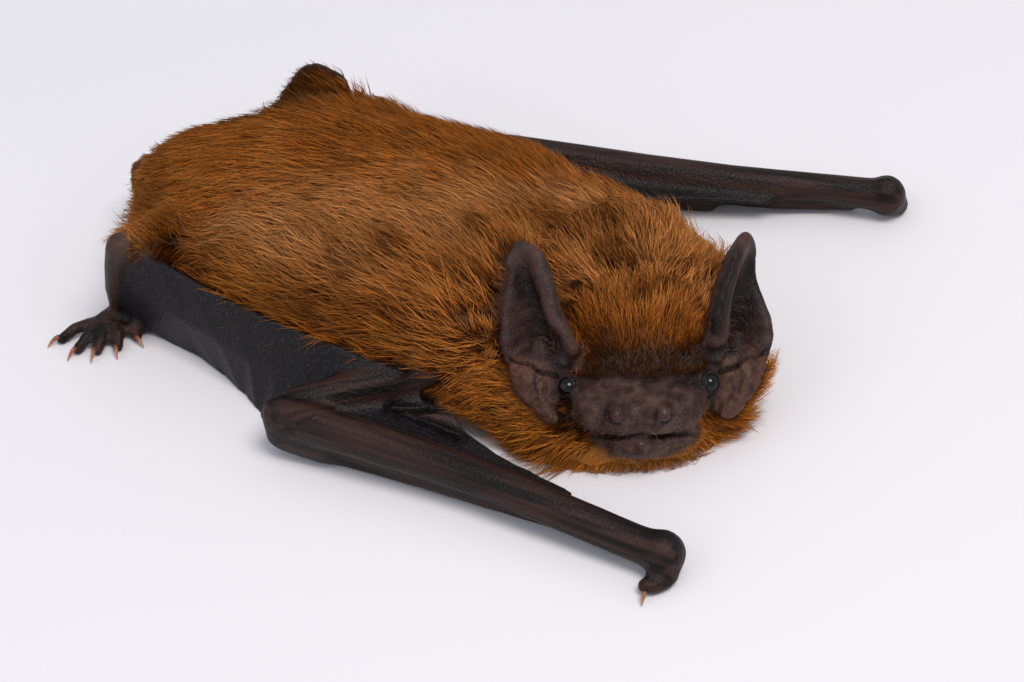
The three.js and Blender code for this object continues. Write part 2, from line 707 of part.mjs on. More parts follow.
// The record's origin: the middle of the whole bat, seen from above, on the floor.
const middle = new THREE.Box3().setFromObject(bat, true).getCenter(new THREE.Vector3());
bat.position.set(-middle.x, -middle.y, 0);

export default new THREE.Group().add(bat);
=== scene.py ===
"""A small brown bat lying on its belly with folded wings: its skin, coat, eyes and claws, at life size."""

import math

import bpy
import bmesh
import numpy as np
from mathutils import Matrix, Vector
from mathutils.bvhtree import BVHTree
from mathutils.kdtree import KDTree


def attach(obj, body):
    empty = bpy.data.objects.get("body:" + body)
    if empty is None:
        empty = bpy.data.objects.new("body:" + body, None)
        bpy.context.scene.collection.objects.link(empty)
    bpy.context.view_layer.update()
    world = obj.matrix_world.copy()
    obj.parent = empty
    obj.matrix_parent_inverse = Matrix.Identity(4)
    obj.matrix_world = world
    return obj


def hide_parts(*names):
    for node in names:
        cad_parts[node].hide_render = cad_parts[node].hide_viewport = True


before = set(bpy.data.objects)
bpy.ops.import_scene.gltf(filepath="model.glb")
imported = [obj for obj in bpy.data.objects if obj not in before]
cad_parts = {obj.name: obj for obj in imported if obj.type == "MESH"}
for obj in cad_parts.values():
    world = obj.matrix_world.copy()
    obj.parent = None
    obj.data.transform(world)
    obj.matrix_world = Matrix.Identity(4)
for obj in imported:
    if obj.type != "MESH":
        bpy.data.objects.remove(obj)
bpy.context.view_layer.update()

# Shapes are worked out in millimetres, on arrays of points, and turned to metres when a piece is made.
MM = 0.001
RNG = np.random.default_rng(7)
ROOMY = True

# ---- Sizes, mm ----

GROWN = 0.3  # how far each solid is swelled so that the gaps between them close
SKIN_VOXEL = 0.25
LOW_VOXEL = 0.7  # the plain copy of the skin that the hairs are rooted on
LEVEL = np.array([1, 1, 0])  # leaves out the height of a place
HEAD_LIFT = 17  # degrees, nose up
EYE_PLACE = np.array([6.65, 5.75, 2.5])  # left eye from the tip of the nose: out, back and up
EYE_RADIUS = 1.05
FLOOR_CLEARANCE = 0.03
LONG_HAIRS, SHORT_HAIRS = (94_000, 92_000) if ROOMY else (20_000, 6_000)
TRIANGLES_EACH = 185_000  # at most, in one piece of the coat
HAIR_RADIUS = 0.046 if ROOMY else 0.09
WHISKER_RADIUS = 0.016  # for each mm of length
ROOT_SUNK = 0.15  # how deep a hair starts under the skin
STRAY = 0.09  # how far single tips stray from their lock
SPECK = 0.003  # the width of a hair's own place on the unwrap
CLAW_RADIUS = 0.36
SOLID_END = 1.5  # the part of a solid's length that counts as its end

SIDES = {"right": -1, "left": 1}
SOLIDS = sorted(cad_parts)
HARD = [name for name in SOLIDS if name.endswith("_eye") or "claw" in name]
FLESH = [name for name in SOLIDS if name not in HARD]
BARE_FACE = ["muzzle", "lower_jaw"] + [f"{side}_{part}" for side in SIDES for part in ("eye", "ear_lobe")]
ARM = ("wrist", "thumb", "forearm", "upper_arm", "shin", "arm_web", "finger_3", "finger_4", "finger_5")
ROUNDED = [f"{side}_{part}" for side in SIDES for part in ARM]

# Depth of the coat over each furred solid, and the length of its hairs.
COATS = {
    "trunk": (1.7, 3.9),
    "neck": (1.7, 3.6),
    "chest": (1.5, 3.2),
    "throat": (1.2, 2.4),
    "head": (1.1, 2.3),
    "right_thigh": (0.7, 2.4),
    "left_thigh": (0.7, 2.2),
    "right_tail_membrane": (0.35, 1.9),
    "left_tail_membrane": (0.35, 1.9),
    "tail": (0.15, 0.9),
}

# Places on the coat: a crest on the right shoulder, the fur beside the right ear, a small parting, and the
# narrow roll of the neck behind the left ear.
SHOULDER_FAN = [(-18.3, 8.1, 16.4), (-20.7, 1.8, 14.5), (-22.4, -4.1, 12.0)]
SHOULDER_FRONT = np.array([-17.8, -10.5, 13.7])
PARTING = [(-12.6, -8.1, 17.3), (-10.3, -9.6, 17.3)]
NECK_CREST = np.array([4.6, -23.5, 10.0])
# ---- Small tools ----

def ease(low, high, value):
    """0 before `low`, 1 past `high`, and a soft rise between them."""
    t = np.clip((value - low) / (high - low), 0, 1)
    return t * t * (3 - 2 * t)


def unit(vectors):
    return vectors / np.maximum(np.linalg.norm(vectors, axis=-1, keepdims=True), 1e-9)


def faded(distance, width):
    """1 at no distance, fading to none beyond the width."""
    return np.exp(-(distance / width) ** 2)


def hashed(cells, seed):
    """A number from 0 to 1 for each whole-number lattice cell."""
    x, y, z = (cells[..., i].astype(np.int64) for i in range(3))
    mixed = (x * 73856093) ^ (y * 19349663) ^ (z * 83492791) ^ (seed * 2654435761)
    mixed = (mixed ^ (mixed >> 13)) * 1274126177
    return ((mixed ^ (mixed >> 16)) & 0xFFFF) / 65535.0


def noise(points, size, seed=0):
    """Smooth noise from -1 to 1 whose lumps are about `size` across."""
    scaled = points / size
    cell = np.floor(scaled)
    part = scaled - cell
    part = part * part * (3 - 2 * part)
    total = 0
    for corner in np.ndindex(2, 2, 2):
        offset = np.array(corner)
        weight = np.prod(np.where(offset == 1, part, 1 - part), axis=-1)
        total = total + weight * hashed(cell + offset, seed)
    return 2 * total - 1


def near_line(points, line):
    """Distance from each point to the polyline, and how far along it (0 to 1) the nearest place is."""
    line = np.asarray(line, float)
    best = np.full(len(points), 1e9)
    along = np.zeros(len(points))
    for i, (a, b) in enumerate(zip(line[:-1], line[1:])):
        t = np.clip((points - a) @ (b - a) / ((b - a) @ (b - a)), 0, 1)
        away = np.linalg.norm(points - a - t[:, None] * (b - a), axis=1)
        closer = away < best
        best[closer] = away[closer]
        along[closer] = (i + t[closer]) / (len(line) - 1)
    return best, along


def by_line(points, line, width):
    """1 on the polyline, fading to none beyond the width."""
    return faded(near_line(points, line)[0], width)


def by_spot(points, spot, width):
    """1 at the spot, fading to none beyond the width."""
    return faded(np.linalg.norm(points - spot, axis=1), width)


def tree_of(points):
    """A tree that finds the nearest of the points."""
    tree = KDTree(len(points))
    for i, point in enumerate(points):
        tree.insert(point, i)
    tree.balance()
    return tree


def areas(points, faces):
    a, b, c = (points[faces[:, i]] for i in range(3))
    return np.linalg.norm(np.cross(b - a, c - a), axis=1) / 2


def in_triangle(u, v):
    """Two numbers from 0 to 1, folded over where they leave the triangle."""
    outside = u + v > 1
    return np.where(outside, 1 - u, u), np.where(outside, 1 - v, v)


# ---- Meshes ----

def taken(bm):
    """A mesh's points, their normals, and its triangles. The mesh itself is let go."""
    bmesh.ops.triangulate(bm, faces=bm.faces)
    bm.normal_update()
    bm.verts.index_update()
    points = np.array([vert.co for vert in bm.verts])
    normals = np.array([vert.normal for vert in bm.verts])
    faces = np.array([[vert.index for vert in face.verts] for face in bm.faces])
    bm.free()
    return points, normals, faces


def solid(name):
    """A solid's welded vertices in mm, their normals, and its triangles."""
    bm = bmesh.new()
    bm.from_mesh(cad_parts[name].data)
    bmesh.ops.remove_doubles(bm, verts=bm.verts, dist=1e-7)
    points, normals, faces = taken(bm)
    return points / MM, normals, faces


SHAPES = {name: solid(name) for name in SOLIDS}


def centre(name):
    points = SHAPES[name][0]
    return (points.min(0) + points.max(0)) / 2


def mesh_from(name, points, faces):
    mesh = bpy.data.meshes.new(name)
    mesh.from_pydata(points.tolist(), [], faces.tolist() if isinstance(faces, np.ndarray) else faces)
    mesh.update()
    return mesh


def read(items, key, width, kind=float):
    """What vertices, edges, faces or layers hold under a key, as rows."""
    values = np.empty(len(items) * width, kind)
    items.foreach_get(key, values)
    return values.reshape(-1, width)


def mesh_points(mesh):
    return read(mesh.vertices, "co", 3)


def in_scene(name, data):
    """A new object that is in the scene."""
    made = bpy.data.objects.new(name, data)
    bpy.context.scene.collection.objects.link(made)
    return made


def mesh_normals(mesh, points):
    mesh.vertices.foreach_set("co", points.ravel())
    mesh.update()
    return read(mesh.vertex_normals, "vector", 3)


def remeshed(mesh, voxel):
    """The outer surface of the mesh, rebuilt from even squares."""
    source = in_scene("source", mesh)
    remesh = source.modifiers.new("even", "REMESH")
    remesh.mode = "VOXEL"
    remesh.voxel_size = voxel
    bpy.context.view_layer.update()
    shape = source.evaluated_get(bpy.context.evaluated_depsgraph_get())
    rebuilt = bpy.data.meshes.new_from_object(shape)
    bpy.data.objects.remove(source)
    return rebuilt


def relax(mesh, values, rounds, amount=0.5):
    """Evens out a value, or the points themselves, over the mesh. `amount` may differ between vertices."""
    a, b = read(mesh.edges, "vertices", 2, np.int32).T
    count = len(mesh.vertices)
    valence = np.maximum(np.bincount(a, minlength=count) + np.bincount(b, minlength=count), 1)
    flat = values.reshape(count, -1).copy()
    amount = np.broadcast_to(amount, (count,))
    for _ in range(rounds):
        for k in range(flat.shape[1]):
            total = np.bincount(a, flat[b, k], count) + np.bincount(b, flat[a, k], count)
            flat[:, k] += amount * (total / valence - flat[:, k])
    return flat.reshape(values.shape)


def smooth_shape(mesh, points, rounds):
    """Evens out the facets without shrinking the form."""
    for _ in range(rounds):
        points = relax(mesh, points, 1, 0.5)
        points = relax(mesh, points, 1, -0.51)
    return points


def set_masks(mesh, masks):
    """Keeps each mask, a value for every vertex, under its name."""
    for name, values in masks.items():
        layer = mesh.attributes.get(name) or mesh.attributes.new(name, "FLOAT", "POINT")
        layer.data.foreach_set("value", np.ascontiguousarray(values, np.float32))


def get_mask(mesh, name):
    return read(mesh.attributes[name].data, "value", 1, np.float32)[:, 0].astype(float)


# ---- The head's own frame ----

def head_frame():
    """The tip of the nose, and the head's axes: to its left, back, and up."""
    left_eye, right_eye = centre("left_eye"), centre("right_eye")
    out = unit(left_eye - right_eye)
    level_back = np.cross([0, 0, 1], out)
    lift = math.radians(HEAD_LIFT)
    back = math.cos(lift) * level_back - math.sin(lift) * np.array([0, 0, 1])
    up = np.cross(out, back)
    nose = (left_eye + right_eye) / 2 - EYE_PLACE[1] * back - EYE_PLACE[2] * up
    return nose, np.array([out, back, up])


NOSE, HEAD_AXES = head_frame()


def in_head(points):
    return (points - NOSE) @ HEAD_AXES.T


def from_head(places):
    """Places given in the head's own frame."""
    return NOSE + np.asarray(places, float) @ HEAD_AXES


def mirrored(points):
    """The same place on the left half of the head."""
    return points * np.where(points[:, :1] < 0, [[-1, 1, 1]], [[1, 1, 1]])


# Lines and spots on the left half of the head, from the tip of the nose: out, back and up.
MOUTH = [(0, 0.9, -0.75), (2.6, 2.1, -1.3), (5.0, 4.3, -2.2), (6.6, 6.6, -1.9)]
UPPER_LIP = [(0, 0.6, -0.35), (2.7, 1.7, -0.8), (5.1, 4.0, -1.6)]
LOWER_LIP = [(0, 1.1, -1.25), (2.5, 2.2, -1.8), (4.6, 4.4, -2.6)]
LIP_MIDDLE = (0, 1.2, -1.7)
NOSE_PAD = (2.15, 0.3, 1.9)
SNOUT_SIDE = (4.3, 3.2, 1.0)
NOSTRIL = [(2.95, 0.75, 1.7), (2.95, 0.5, 1.25), (2.55, 0.2, 0.9), (2.1, 0.15, 0.85)]
MIDLINE = [(0, 0.3, 2.4), (0, 0.0, 1.6), (0, 0.4, 0.5)]
SNOUT_FOLD = [(3.6, 5.4, 3.1), (2.9, 3.4, 2.9), (2.7, 2.0, 2.6)]
EAR_FOLD = [(12.4, 9.2, 4.2), (11.4, 8.4, 3.8), (10.4, 8.1, 3.4), (9.2, 7.4, 3.1), (8.0, 6.6, 3.5)]
LOBE_FOLDS = [
    [(9.6, 7.7, 3.2), (9.9, 7.6, 2.3), (9.4, 6.9, 1.2), (9.5, 6.3, 0.2)],
    [(11.6, 8.6, 3.0), (10.9, 7.9, 2.0), (10.8, 7.4, 0.9)],
    [(8.6, 7.0, 2.2), (8.9, 6.6, 1.4), (8.3, 5.9, 0.3)],
]
LOBE_GROOVE = [(8.4, 6.9, 2.4), (7.7, 5.6, 0.6), (7.0, 5.0, -0.9)]
EAR_WAIST = {-1: (9.5, 1.0), 1: (6.5, 0.8)}  # where each ear's front edge is drawn in: how high, how far
EAR_RIMS = {
    -1: [(6.2, 8.6, 5.4), (6.4, 8.8, 6.9), (7.3, 9.3, 8.0),
         (7.6, 10.4, 10.1), (9.0, 11.6, 12.4), (9.7, 12.6, 14.2)],
    1: [(7.0, 8.4, 5.8), (7.8, 8.8, 6.9), (9.3, 9.6, 8.7),
        (10.1, 10.8, 10.9), (10.3, 12.0, 13.0), (10.6, 13.0, 14.6)],
}
EAR_RIDGE = 1.4  # from one cross ridge inside the ear to the next
CHEEK = [(10.3, 9.6, 3.4), (9.3, 8.5, 1.3), (8.2, 7.3, -0.3), (7.8, 6.9, -1.2), (8.2, 8.8, 3.6)]
CHEEK_FUR = [(8.2, 7.4, -0.6), (7.8, 7.0, -1.6), (7.6, 6.6, -3.6)]
DARK_BROW = [(0, 7.4, 3.8), (5.5, 7.8, 3.6), (7.2, 8.0, 3.6)]
BROW_HAIRS = [(0, 6.9, 3.4), (5.4, 7.2, 3.2), (6.6, 7.4, 3.2)]
BEHIND_EAR = [(9, 9.5, 4), (8, 10, 7)]
BEFORE_EAR = [(8.0, 7.0, 3.4), (8.2, 6.6, 0.8)]
GOLDEN_CHIN = [(0, 3.8, -5.0), (5, 5.2, -4.6), (9.5, 7.4, -2.4), (12.4, 9.6, 1.5)]
RUFF = [(0, 3.6, -4.0), (5, 5.2, -3.8), (8.8, 7.2, -2.0), (11.6, 9.6, 1.0), (13, 11, 4.5)]
GAZE = unit(np.array([0.62, -0.7, 0.36]))  # the way the left eye looks
EYE_OPENING = 58  # degrees from the gaze to the edge of the lids

# Places on the body: balls of soft flesh by the knees, the slits and the fold of the web at the crook of
# the right arm, and the knees.
KNEE_FOLDS = [
    [((9.1, 24.8, 14.2), 1.4), ((-1.5, 24.0, 13.6), 1.6),
     ((7.5, 13.5, 13.0), 1.6), ((8.0, 22.0, 8.5), 1.5)],
    [((-20.4, 23.0, 10.6), 1.7), ((-16.5, 22.0, 12.2), 2.5), ((-18.5, 19.0, 11.0), 2.5)],
]
WEB_SLITS = [
    [(-26.1, -5.9, 4.6), (-24.8, -8.4, 4.5), (-23.0, -10.6, 4.3)],
    [(-26.2, -7.5, 4.3), (-25.9, -10.1, 4.1), (-25.9, -13.5, 3.9)],
]
WEB_FOLD = [(-25.5, -7.9, 4.4), (-24.8, -10.6, 4.2), (-24.2, -13.0, 4.1)]
RIGHT_KNEE = np.array([-25.6, 24.8, 13.6])
LEFT_KNEE = [(8.7, 24.8, 13.5), (2.0, 23.5, 14.0)]
LEFT_KNEE_FUR = [(7.0, 24.4, 13.2), (2.0, 24.0, 13.6), (7.4, 14.0, 13.0)]


# ---- Skin ----

def gaze(side):
    """The way an eye looks."""
    return unit(GAZE * [SIDES[side], 1, 1] @ HEAD_AXES)


def pad(balls):
    """The hull round balls, each a place and a radius: soft flesh that fills the hollow between solids."""
    bm = bmesh.new()
    for place, radius in balls:
        ball = bmesh.ops.create_icosphere(bm, subdivisions=2, radius=radius)
        bmesh.ops.translate(bm, verts=ball["verts"], vec=Vector(place))
    hull = bmesh.ops.convex_hull(bm, input=bm.verts)
    inner = hull["geom_interior"] + hull["geom_unused"]
    spare = {item for item in inner if isinstance(item, bmesh.types.BMVert)}
    bmesh.ops.delete(bm, geom=list(spare), context="VERTS")
    points, _, faces = taken(bm)
    return points, faces


def wing_pads(side):
    """The folded fingers' slab, the elbow's heel, the arm's run into the wrist, and the web's front."""
    wrist = centre(f"{side}_wrist")
    along = unit((wrist - centre(f"{side}_forearm")) * LEVEL)

    def ends(name, low, high):
        """Two places in a solid, given as shares of its length from the elbow's end."""
        points = SHAPES[name][0]
        reach = points @ along
        near = points[reach < reach.min() + SOLID_END].mean(0)
        far = points[reach > reach.max() - SOLID_END].mean(0)
        return near + (far - near) * low, near + (far - near) * high

    fingers = ends(f"{side}_finger_3", 0.02, 0.98) + ends(f"{side}_finger_5", 0.02, 0.98)
    slab = [(place * LEVEL + [0, 0, z], 0.6) for place in fingers for z in (0.75, 2.0)]
    elbow, before = ends(f"{side}_forearm", 0.03, 0.16)
    heel = [(elbow, 1.9), (before, 1.5)]
    heel += [(elbow * LEVEL + [0, 0, 2.2], 1.7), (before * LEVEL + [0, 0, 1.2], 1.1)]
    arm = [(ends(f"{side}_forearm", 0.6, 1.0)[0], 1.4), (wrist, 2.2)]
    web = ends(f"{side}_arm_web", 0.8, 0.97)
    return [slab, heel, arm, [(place, 0.6) for place in (*web, wrist - along * 2.5)]]


def soft_pads():
    """Soft flesh round the eyes, inside the mouth, behind the ear lobes, in the wings and by the knees."""
    pads = []
    for side, sign in SIDES.items():
        eye = centre(f"{side}_eye")
        mouth = [from_head(place) for place in ((0, 2.6, -1.0), (sign * 5.2, 5.1, -2.0))]
        cheek = from_head([(sign * x, y, z) for x, y, z in CHEEK])
        pads.append([(eye, 1.85)])
        pads.append([(place, 0.95) for place in mouth])
        pads.append([(eye + HEAD_AXES[1], 1.0)] + [(place, 1.55) for place in cheek])
        pads += wing_pads(side)
    return [pad(balls) for balls in pads + KNEE_FOLDS]


def joined_flesh():
    """The flesh solids, swelled until they meet, and the soft pads, as one mesh."""
    swelled = [(SHAPES[name][0] + SHAPES[name][1] * GROWN, SHAPES[name][2]) for name in FLESH]
    points, faces = zip(*(swelled + soft_pads()))
    starts = np.cumsum([0] + [len(part) for part in points])
    faces = [part + start for part, start in zip(faces, starts)]
    return mesh_from("flesh", np.concatenate(points), np.concatenate(faces))


def sampled(names, spacing=0.4):
    """Points spread over the solids' surfaces, and which solid each is on."""
    spots, owners = [], []
    for index, name in enumerate(names):
        points, _, faces = SHAPES[name]
        a, b, c = (points[faces[:, i]] for i in range(3))
        each = np.maximum((areas(points, faces) / spacing ** 2).astype(int), 1)
        which = np.repeat(np.arange(len(each)), each)
        u, v = in_triangle(*RNG.random((2, len(which), 1)))
        spots.append(a[which] + u * (b - a)[which] + v * (c - a)[which])
        owners.append(np.full(len(which), index))
    return np.concatenate(spots), np.concatenate(owners)


def nearest(spots, points):
    """For each point, the index of the nearest spot and how far away it is."""
    tree = tree_of(spots)
    found = [tree.find(point)[1:] for point in points]
    return np.array([index for index, _ in found]), np.array([away for _, away in found])


def nearest_solids(points, names):
    """The name of the solid that each point is nearest to."""
    spots, owners = sampled(names)
    return np.array(names)[owners[nearest(spots, points)[0]]]


def from_bare_face(points):
    """How far each point is from the bare face, in mm."""
    spots, _ = sampled([name for name in SOLIDS if name in BARE_FACE], 0.3)
    return nearest(spots, points)[1]


def coat_of(points, owners):
    """Depth and length of the coat: full on the body, less near the bare face and on the neck's roll."""
    depth, length = (np.array([COATS.get(name, (0, 0))[i] for name in FLESH]) for i in (0, 1))
    index = np.searchsorted(FLESH, owners)
    away = from_bare_face(points)
    below = ease(0, -2.5, in_head(points)[:, 2])
    share = ease(0.1, 4.5 - 2.7 * below, away)
    crest = by_spot(points[:, :2], NECK_CREST[:2], 4.5)
    full = 0.5 - 0.15 * below + (0.5 + 0.15 * below) * share
    return depth[index] * (0.3 + 0.7 * share) * (1 - 0.7 * crest), length[index] * full * (1 - 0.4 * crest)


def refine(mesh, wanted):
    """Splits every square in which a vertex is wanted finer."""
    bm = bmesh.new()
    bm.from_mesh(mesh)
    bm.verts.ensure_lookup_table()
    chosen = {face for face in bm.faces if any(wanted[vert.index] for vert in face.verts)}
    edges = list({edge for face in chosen for edge in face.edges})
    bmesh.ops.subdivide_edges(bm, edges=edges, cuts=1, use_grid_fill=True)
    bm.to_mesh(mesh)
    bm.free()


class Face:
    """The left half of the face, on which lines and spots are laid before they are carved."""

    def __init__(self, half):
        self.points = half
        self.tree = tree_of(half)

    def laid(self, place):
        return np.array(self.tree.find(place)[0])

    def line(self, line, width):
        """A groove's or ridge's cross-section: 1 on the line, none beyond its width."""
        line = np.asarray(line, float)
        turns = np.linspace(0, len(line) - 1, 4 * (len(line) - 1) + 1)
        drawn = np.stack([np.interp(turns, range(len(line)), line[:, k]) for k in range(3)], axis=1)
        return by_line(self.points, [self.laid(place) for place in drawn], width)

    def spot(self, place, width):
        """A bump's cross-section: 1 at the place, none beyond its width."""
        return by_spot(self.points, self.laid(place), width)


def sculpt_face(half, rough):
    """How far the bare face rises or sinks, the painted shade in its mouth, nostrils and folds, and where it
    is wet.
    """
    face = Face(half)
    push = 0.8 * face.spot(NOSE_PAD, 0.8) + 0.3 * face.spot(SNOUT_SIDE, 1.8)
    push += 0.2 * face.spot(LIP_MIDDLE, 0.5) + 0.14 * face.line(UPPER_LIP, 0.35)
    push += 0.1 * face.line(LOWER_LIP, 0.4)
    nostril, mouth = face.line(NOSTRIL, 0.24), face.line(MOUTH, 0.17)
    mouth = np.maximum(mouth * ease(6.0, 4.2, half[:, 0]), face.line(MOUTH[:2], 0.24))
    gape = mouth * (0.2 + 0.9 * ease(3.6, 2.4, half[:, 0]))
    push -= 0.35 * nostril + gape + 0.2 * face.line(MIDLINE, 0.5)
    snout_fold, ear_fold = face.line(SNOUT_FOLD, 0.25), face.line(EAR_FOLD, 0.22)
    push -= 0.1 * snout_fold + 0.4 * ear_fold + 0.3 * face.line(LOBE_GROOVE, 0.6)
    folds = sum(face.line(line, 0.13) for line in LOBE_FOLDS)
    push -= 0.16 * folds
    push += 0.03 * rough
    # Painted shade: the nostrils, the mouth and the folds are darkened, as where shade falls in them.
    dark = np.clip(0.9 * nostril + mouth + 0.3 * snout_fold + 0.8 * ear_fold + 0.5 * folds, 0, 1)
    wet = np.maximum(face.spot(NOSE_PAD, 1.0), face.spot(LIP_MIDDLE, 0.8))
    return push, dark, wet


def close_lids(points):
    """Draws the skin round each eyeball into lids, with an opening about the way it looks."""
    dark = np.zeros(len(points))
    for side in SIDES:
        middle = centre(f"{side}_eye")
        spoke = points - middle
        away = np.linalg.norm(spoke, axis=1)
        angle = np.degrees(np.arccos(np.clip(spoke @ gaze(side) / np.maximum(away, 1e-6), -1, 1)))
        edge = ease(EYE_OPENING - 6, EYE_OPENING, angle)
        wanted = EYE_RADIUS * (0.8 + 0.36 * edge) + 0.2 * ease(EYE_OPENING + 4, 130, angle)
        hold = np.where(angle < EYE_OPENING, ease(2.6, 2.1, away),
                        ease(2.1, 1.5, away) * ease(150, 110, angle))
        moved = away + (wanted - away) * hold
        points = middle + spoke * (moved / np.maximum(away, 1e-6))[:, None]
        crease = faded(away - 1.8, 0.2) * (angle < 110)
        points = points + spoke / np.maximum(away, 1e-6)[:, None] * (-0.12 * crease)[:, None]
        # How dark: the lids' own dark skin, and painted shade in the crease round the eye.
        dark = np.maximum(dark, np.maximum(0.75 * hold * (angle < EYE_OPENING + 22), 0.4 * crease))
    return points, dark


def sculpt_ears(here, normals, ear):
    """A thick rolled front edge on each ear with a knob at its foot, cross ridges, and a painted-shade
    hollow.
    """
    push, rim, hollow, waist = np.zeros((4, len(here)))
    facing = ease(0.0, 0.5, -(normals @ HEAD_AXES[1]))
    for sign, line in EAR_RIMS.items():
        mine = ear * (np.sign(here[:, 0]) == sign)
        own = here[mine > 0.5]
        line = np.array(line) * [sign, 1, 1]
        gaps = [own[np.linalg.norm(own - place, axis=1).argmin()] - place for place in line]
        line = line + np.mean(gaps, axis=0)
        away, along = near_line(here, line)
        middle, depth = EAR_WAIST[sign]
        waist += sign * depth * mine * faded(here[:, 2] - middle, 3) * faded(away, 2.2)
        roll, knob = faded(away, 0.75) * mine, by_spot(here, line[0], 0.8) * mine
        # The rim mask is for a painted highlight along each rolled edge.
        rim = np.maximum(rim, faded(away, 0.8) * mine)
        inside = facing * mine * ease(0.7, 1.3, away) * ease(0.95, 0.75, along)
        # The hollow mask is for painted shade inside each ear's cup.
        hollow = np.maximum(hollow, inside * ease(4.4, 2.2, away))
        ridges = np.sin(here[:, 2] * 2 * math.pi / EAR_RIDGE + 2.5 * noise(here, 2.0, 31))
        push += 0.25 * roll + 0.4 * knob + 0.03 * ridges * inside * ease(1.4, 2.4, away)
        push -= 0.3 * inside * ease(3.4, 1.6, away)
    return push, rim, hollow, waist


def sculpt_web(points):
    """The slits and the fold between them in the web at the crook of the right arm."""
    squashed = np.array([1, 1, 0.3])  # the slits go down through the web, so height counts for less
    here = points * squashed
    top = ease(2.8, 3.3, points[:, 2]) * ease(6.5, 5.5, points[:, 2])
    slits = np.maximum(*(by_line(here, line * squashed, 0.5) for line in np.array(WEB_SLITS))) * top
    fold = by_line(here, np.array(WEB_FOLD) * squashed, 0.55)
    return slits, fold * top * (1 - slits)


def tucked(points, fingers):
    """Draws in the ends of the folded fingers and rounds them off under the elbows."""
    for side, sign in SIDES.items():
        along = unit((centre(f"{side}_wrist") - centre(f"{side}_forearm")) * LEVEL)
        start = (SHAPES[f"{side}_forearm"][0] @ along).min() + 1.6
        spare = np.minimum(points @ along - start + 0.25 * (points[:, 2] - 1.5) ** 2, 0) * fingers
        points = points - (0.92 * spare * (points[:, 0] * sign > 0))[:, None] * along
    return points


def streaks(points):
    """Fine lengthwise light and dark lines along the arms and shins, 0 to 1."""
    value = noise(points, 1.5, 50)
    for name in (f"{side}_{part}" for side in SIDES for part in ("forearm", "upper_arm", "shin")):
        own = SHAPES[name][0]
        middle = own.mean(0)
        along = np.linalg.svd(own - middle, full_matrices=False)[2][0]
        half = np.abs((own - middle) @ along).max() * along
        level = points - (points @ along)[:, None] * along * 0.95
        near = near_line(points, [middle - half, middle + half])[0]
        lines = noise(level, 0.35, 51) + 0.8 * noise(level, 1.0, 52)
        value = np.where(near < (3 if "shin" in name else 4.2), lines, value)
    return np.clip(0.5 + 0.5 * value, 0, 1)


def markings(points):
    """How dark, golden or grey the coat is at each place, 0 to 1; the dark holds painted shade low on the
    flanks.
    """
    here = in_head(points)
    half = mirrored(here)
    brow = near_line(half, DARK_BROW)[0] + 1.1 * noise(points, 1.5, 44) + 0.5 * noise(points, 0.6, 45)
    cloud = noise(points, 2.2, 8) + 0.4 * noise(points, 0.8, 7)
    blotch = ease(0.0, 0.6, cloud) * ease(2, 6, here[:, 2])
    # Painted shade low on the body's sides behind the shoulders, with some of the flank's own darker tone;
    # the grey fades there too.
    shaded_flank = ease(15, 10, points[:, 2]) * ease(-9, -4, points[:, 1])
    dark = np.maximum.reduce([
        1.1 * faded(np.maximum(brow, 0), 2.0),
        by_line(half, LOBE_GROOVE, 1.3),
        0.8 * by_line(half, BEHIND_EAR, 1.5),
        0.72 * blotch * ease(19, 13, here[:, 1]),
        by_line(points, PARTING, 0.4),
        0.95 * by_line(points, LEFT_KNEE, 5.6),
        0.6 * shaded_flank * (0.7 + 0.5 * noise(points, 3.0, 6)),
    ])
    dark = dark + 0.25 * ease(0.25, 0.8, noise(points * [1, 0.45, 1], 1.3, 9))
    dark = np.maximum(dark, 0.9 * by_line(half, BEFORE_EAR, 1.6))
    gold = 0.9 * by_line(half, GOLDEN_CHIN, 3.0) * (1 - np.clip(dark, 0, 1))
    gold = gold + 0.35 * ease(0.1, 0.8, noise(points, 5.0, 4))
    nape = faded(here[:, 1] - 18, 5) * ease(2, 5, here[:, 2])
    shoulder = by_line(points, SHOULDER_FAN, 6)
    grey = (1.05 + 0.5 * noise(points, 2.2, 5)) * nape * (1 - 0.8 * blotch) + 0.3 * shoulder
    grey = (grey + 0.15 * ease(0.1, 0.9, noise(points, 6.0, 3))) * (1 - shaded_flank)
    return {"dark": np.clip(dark, 0, 1), "gold": np.clip(gold, 0, 1), "grey": np.clip(grey, 0, 1)}


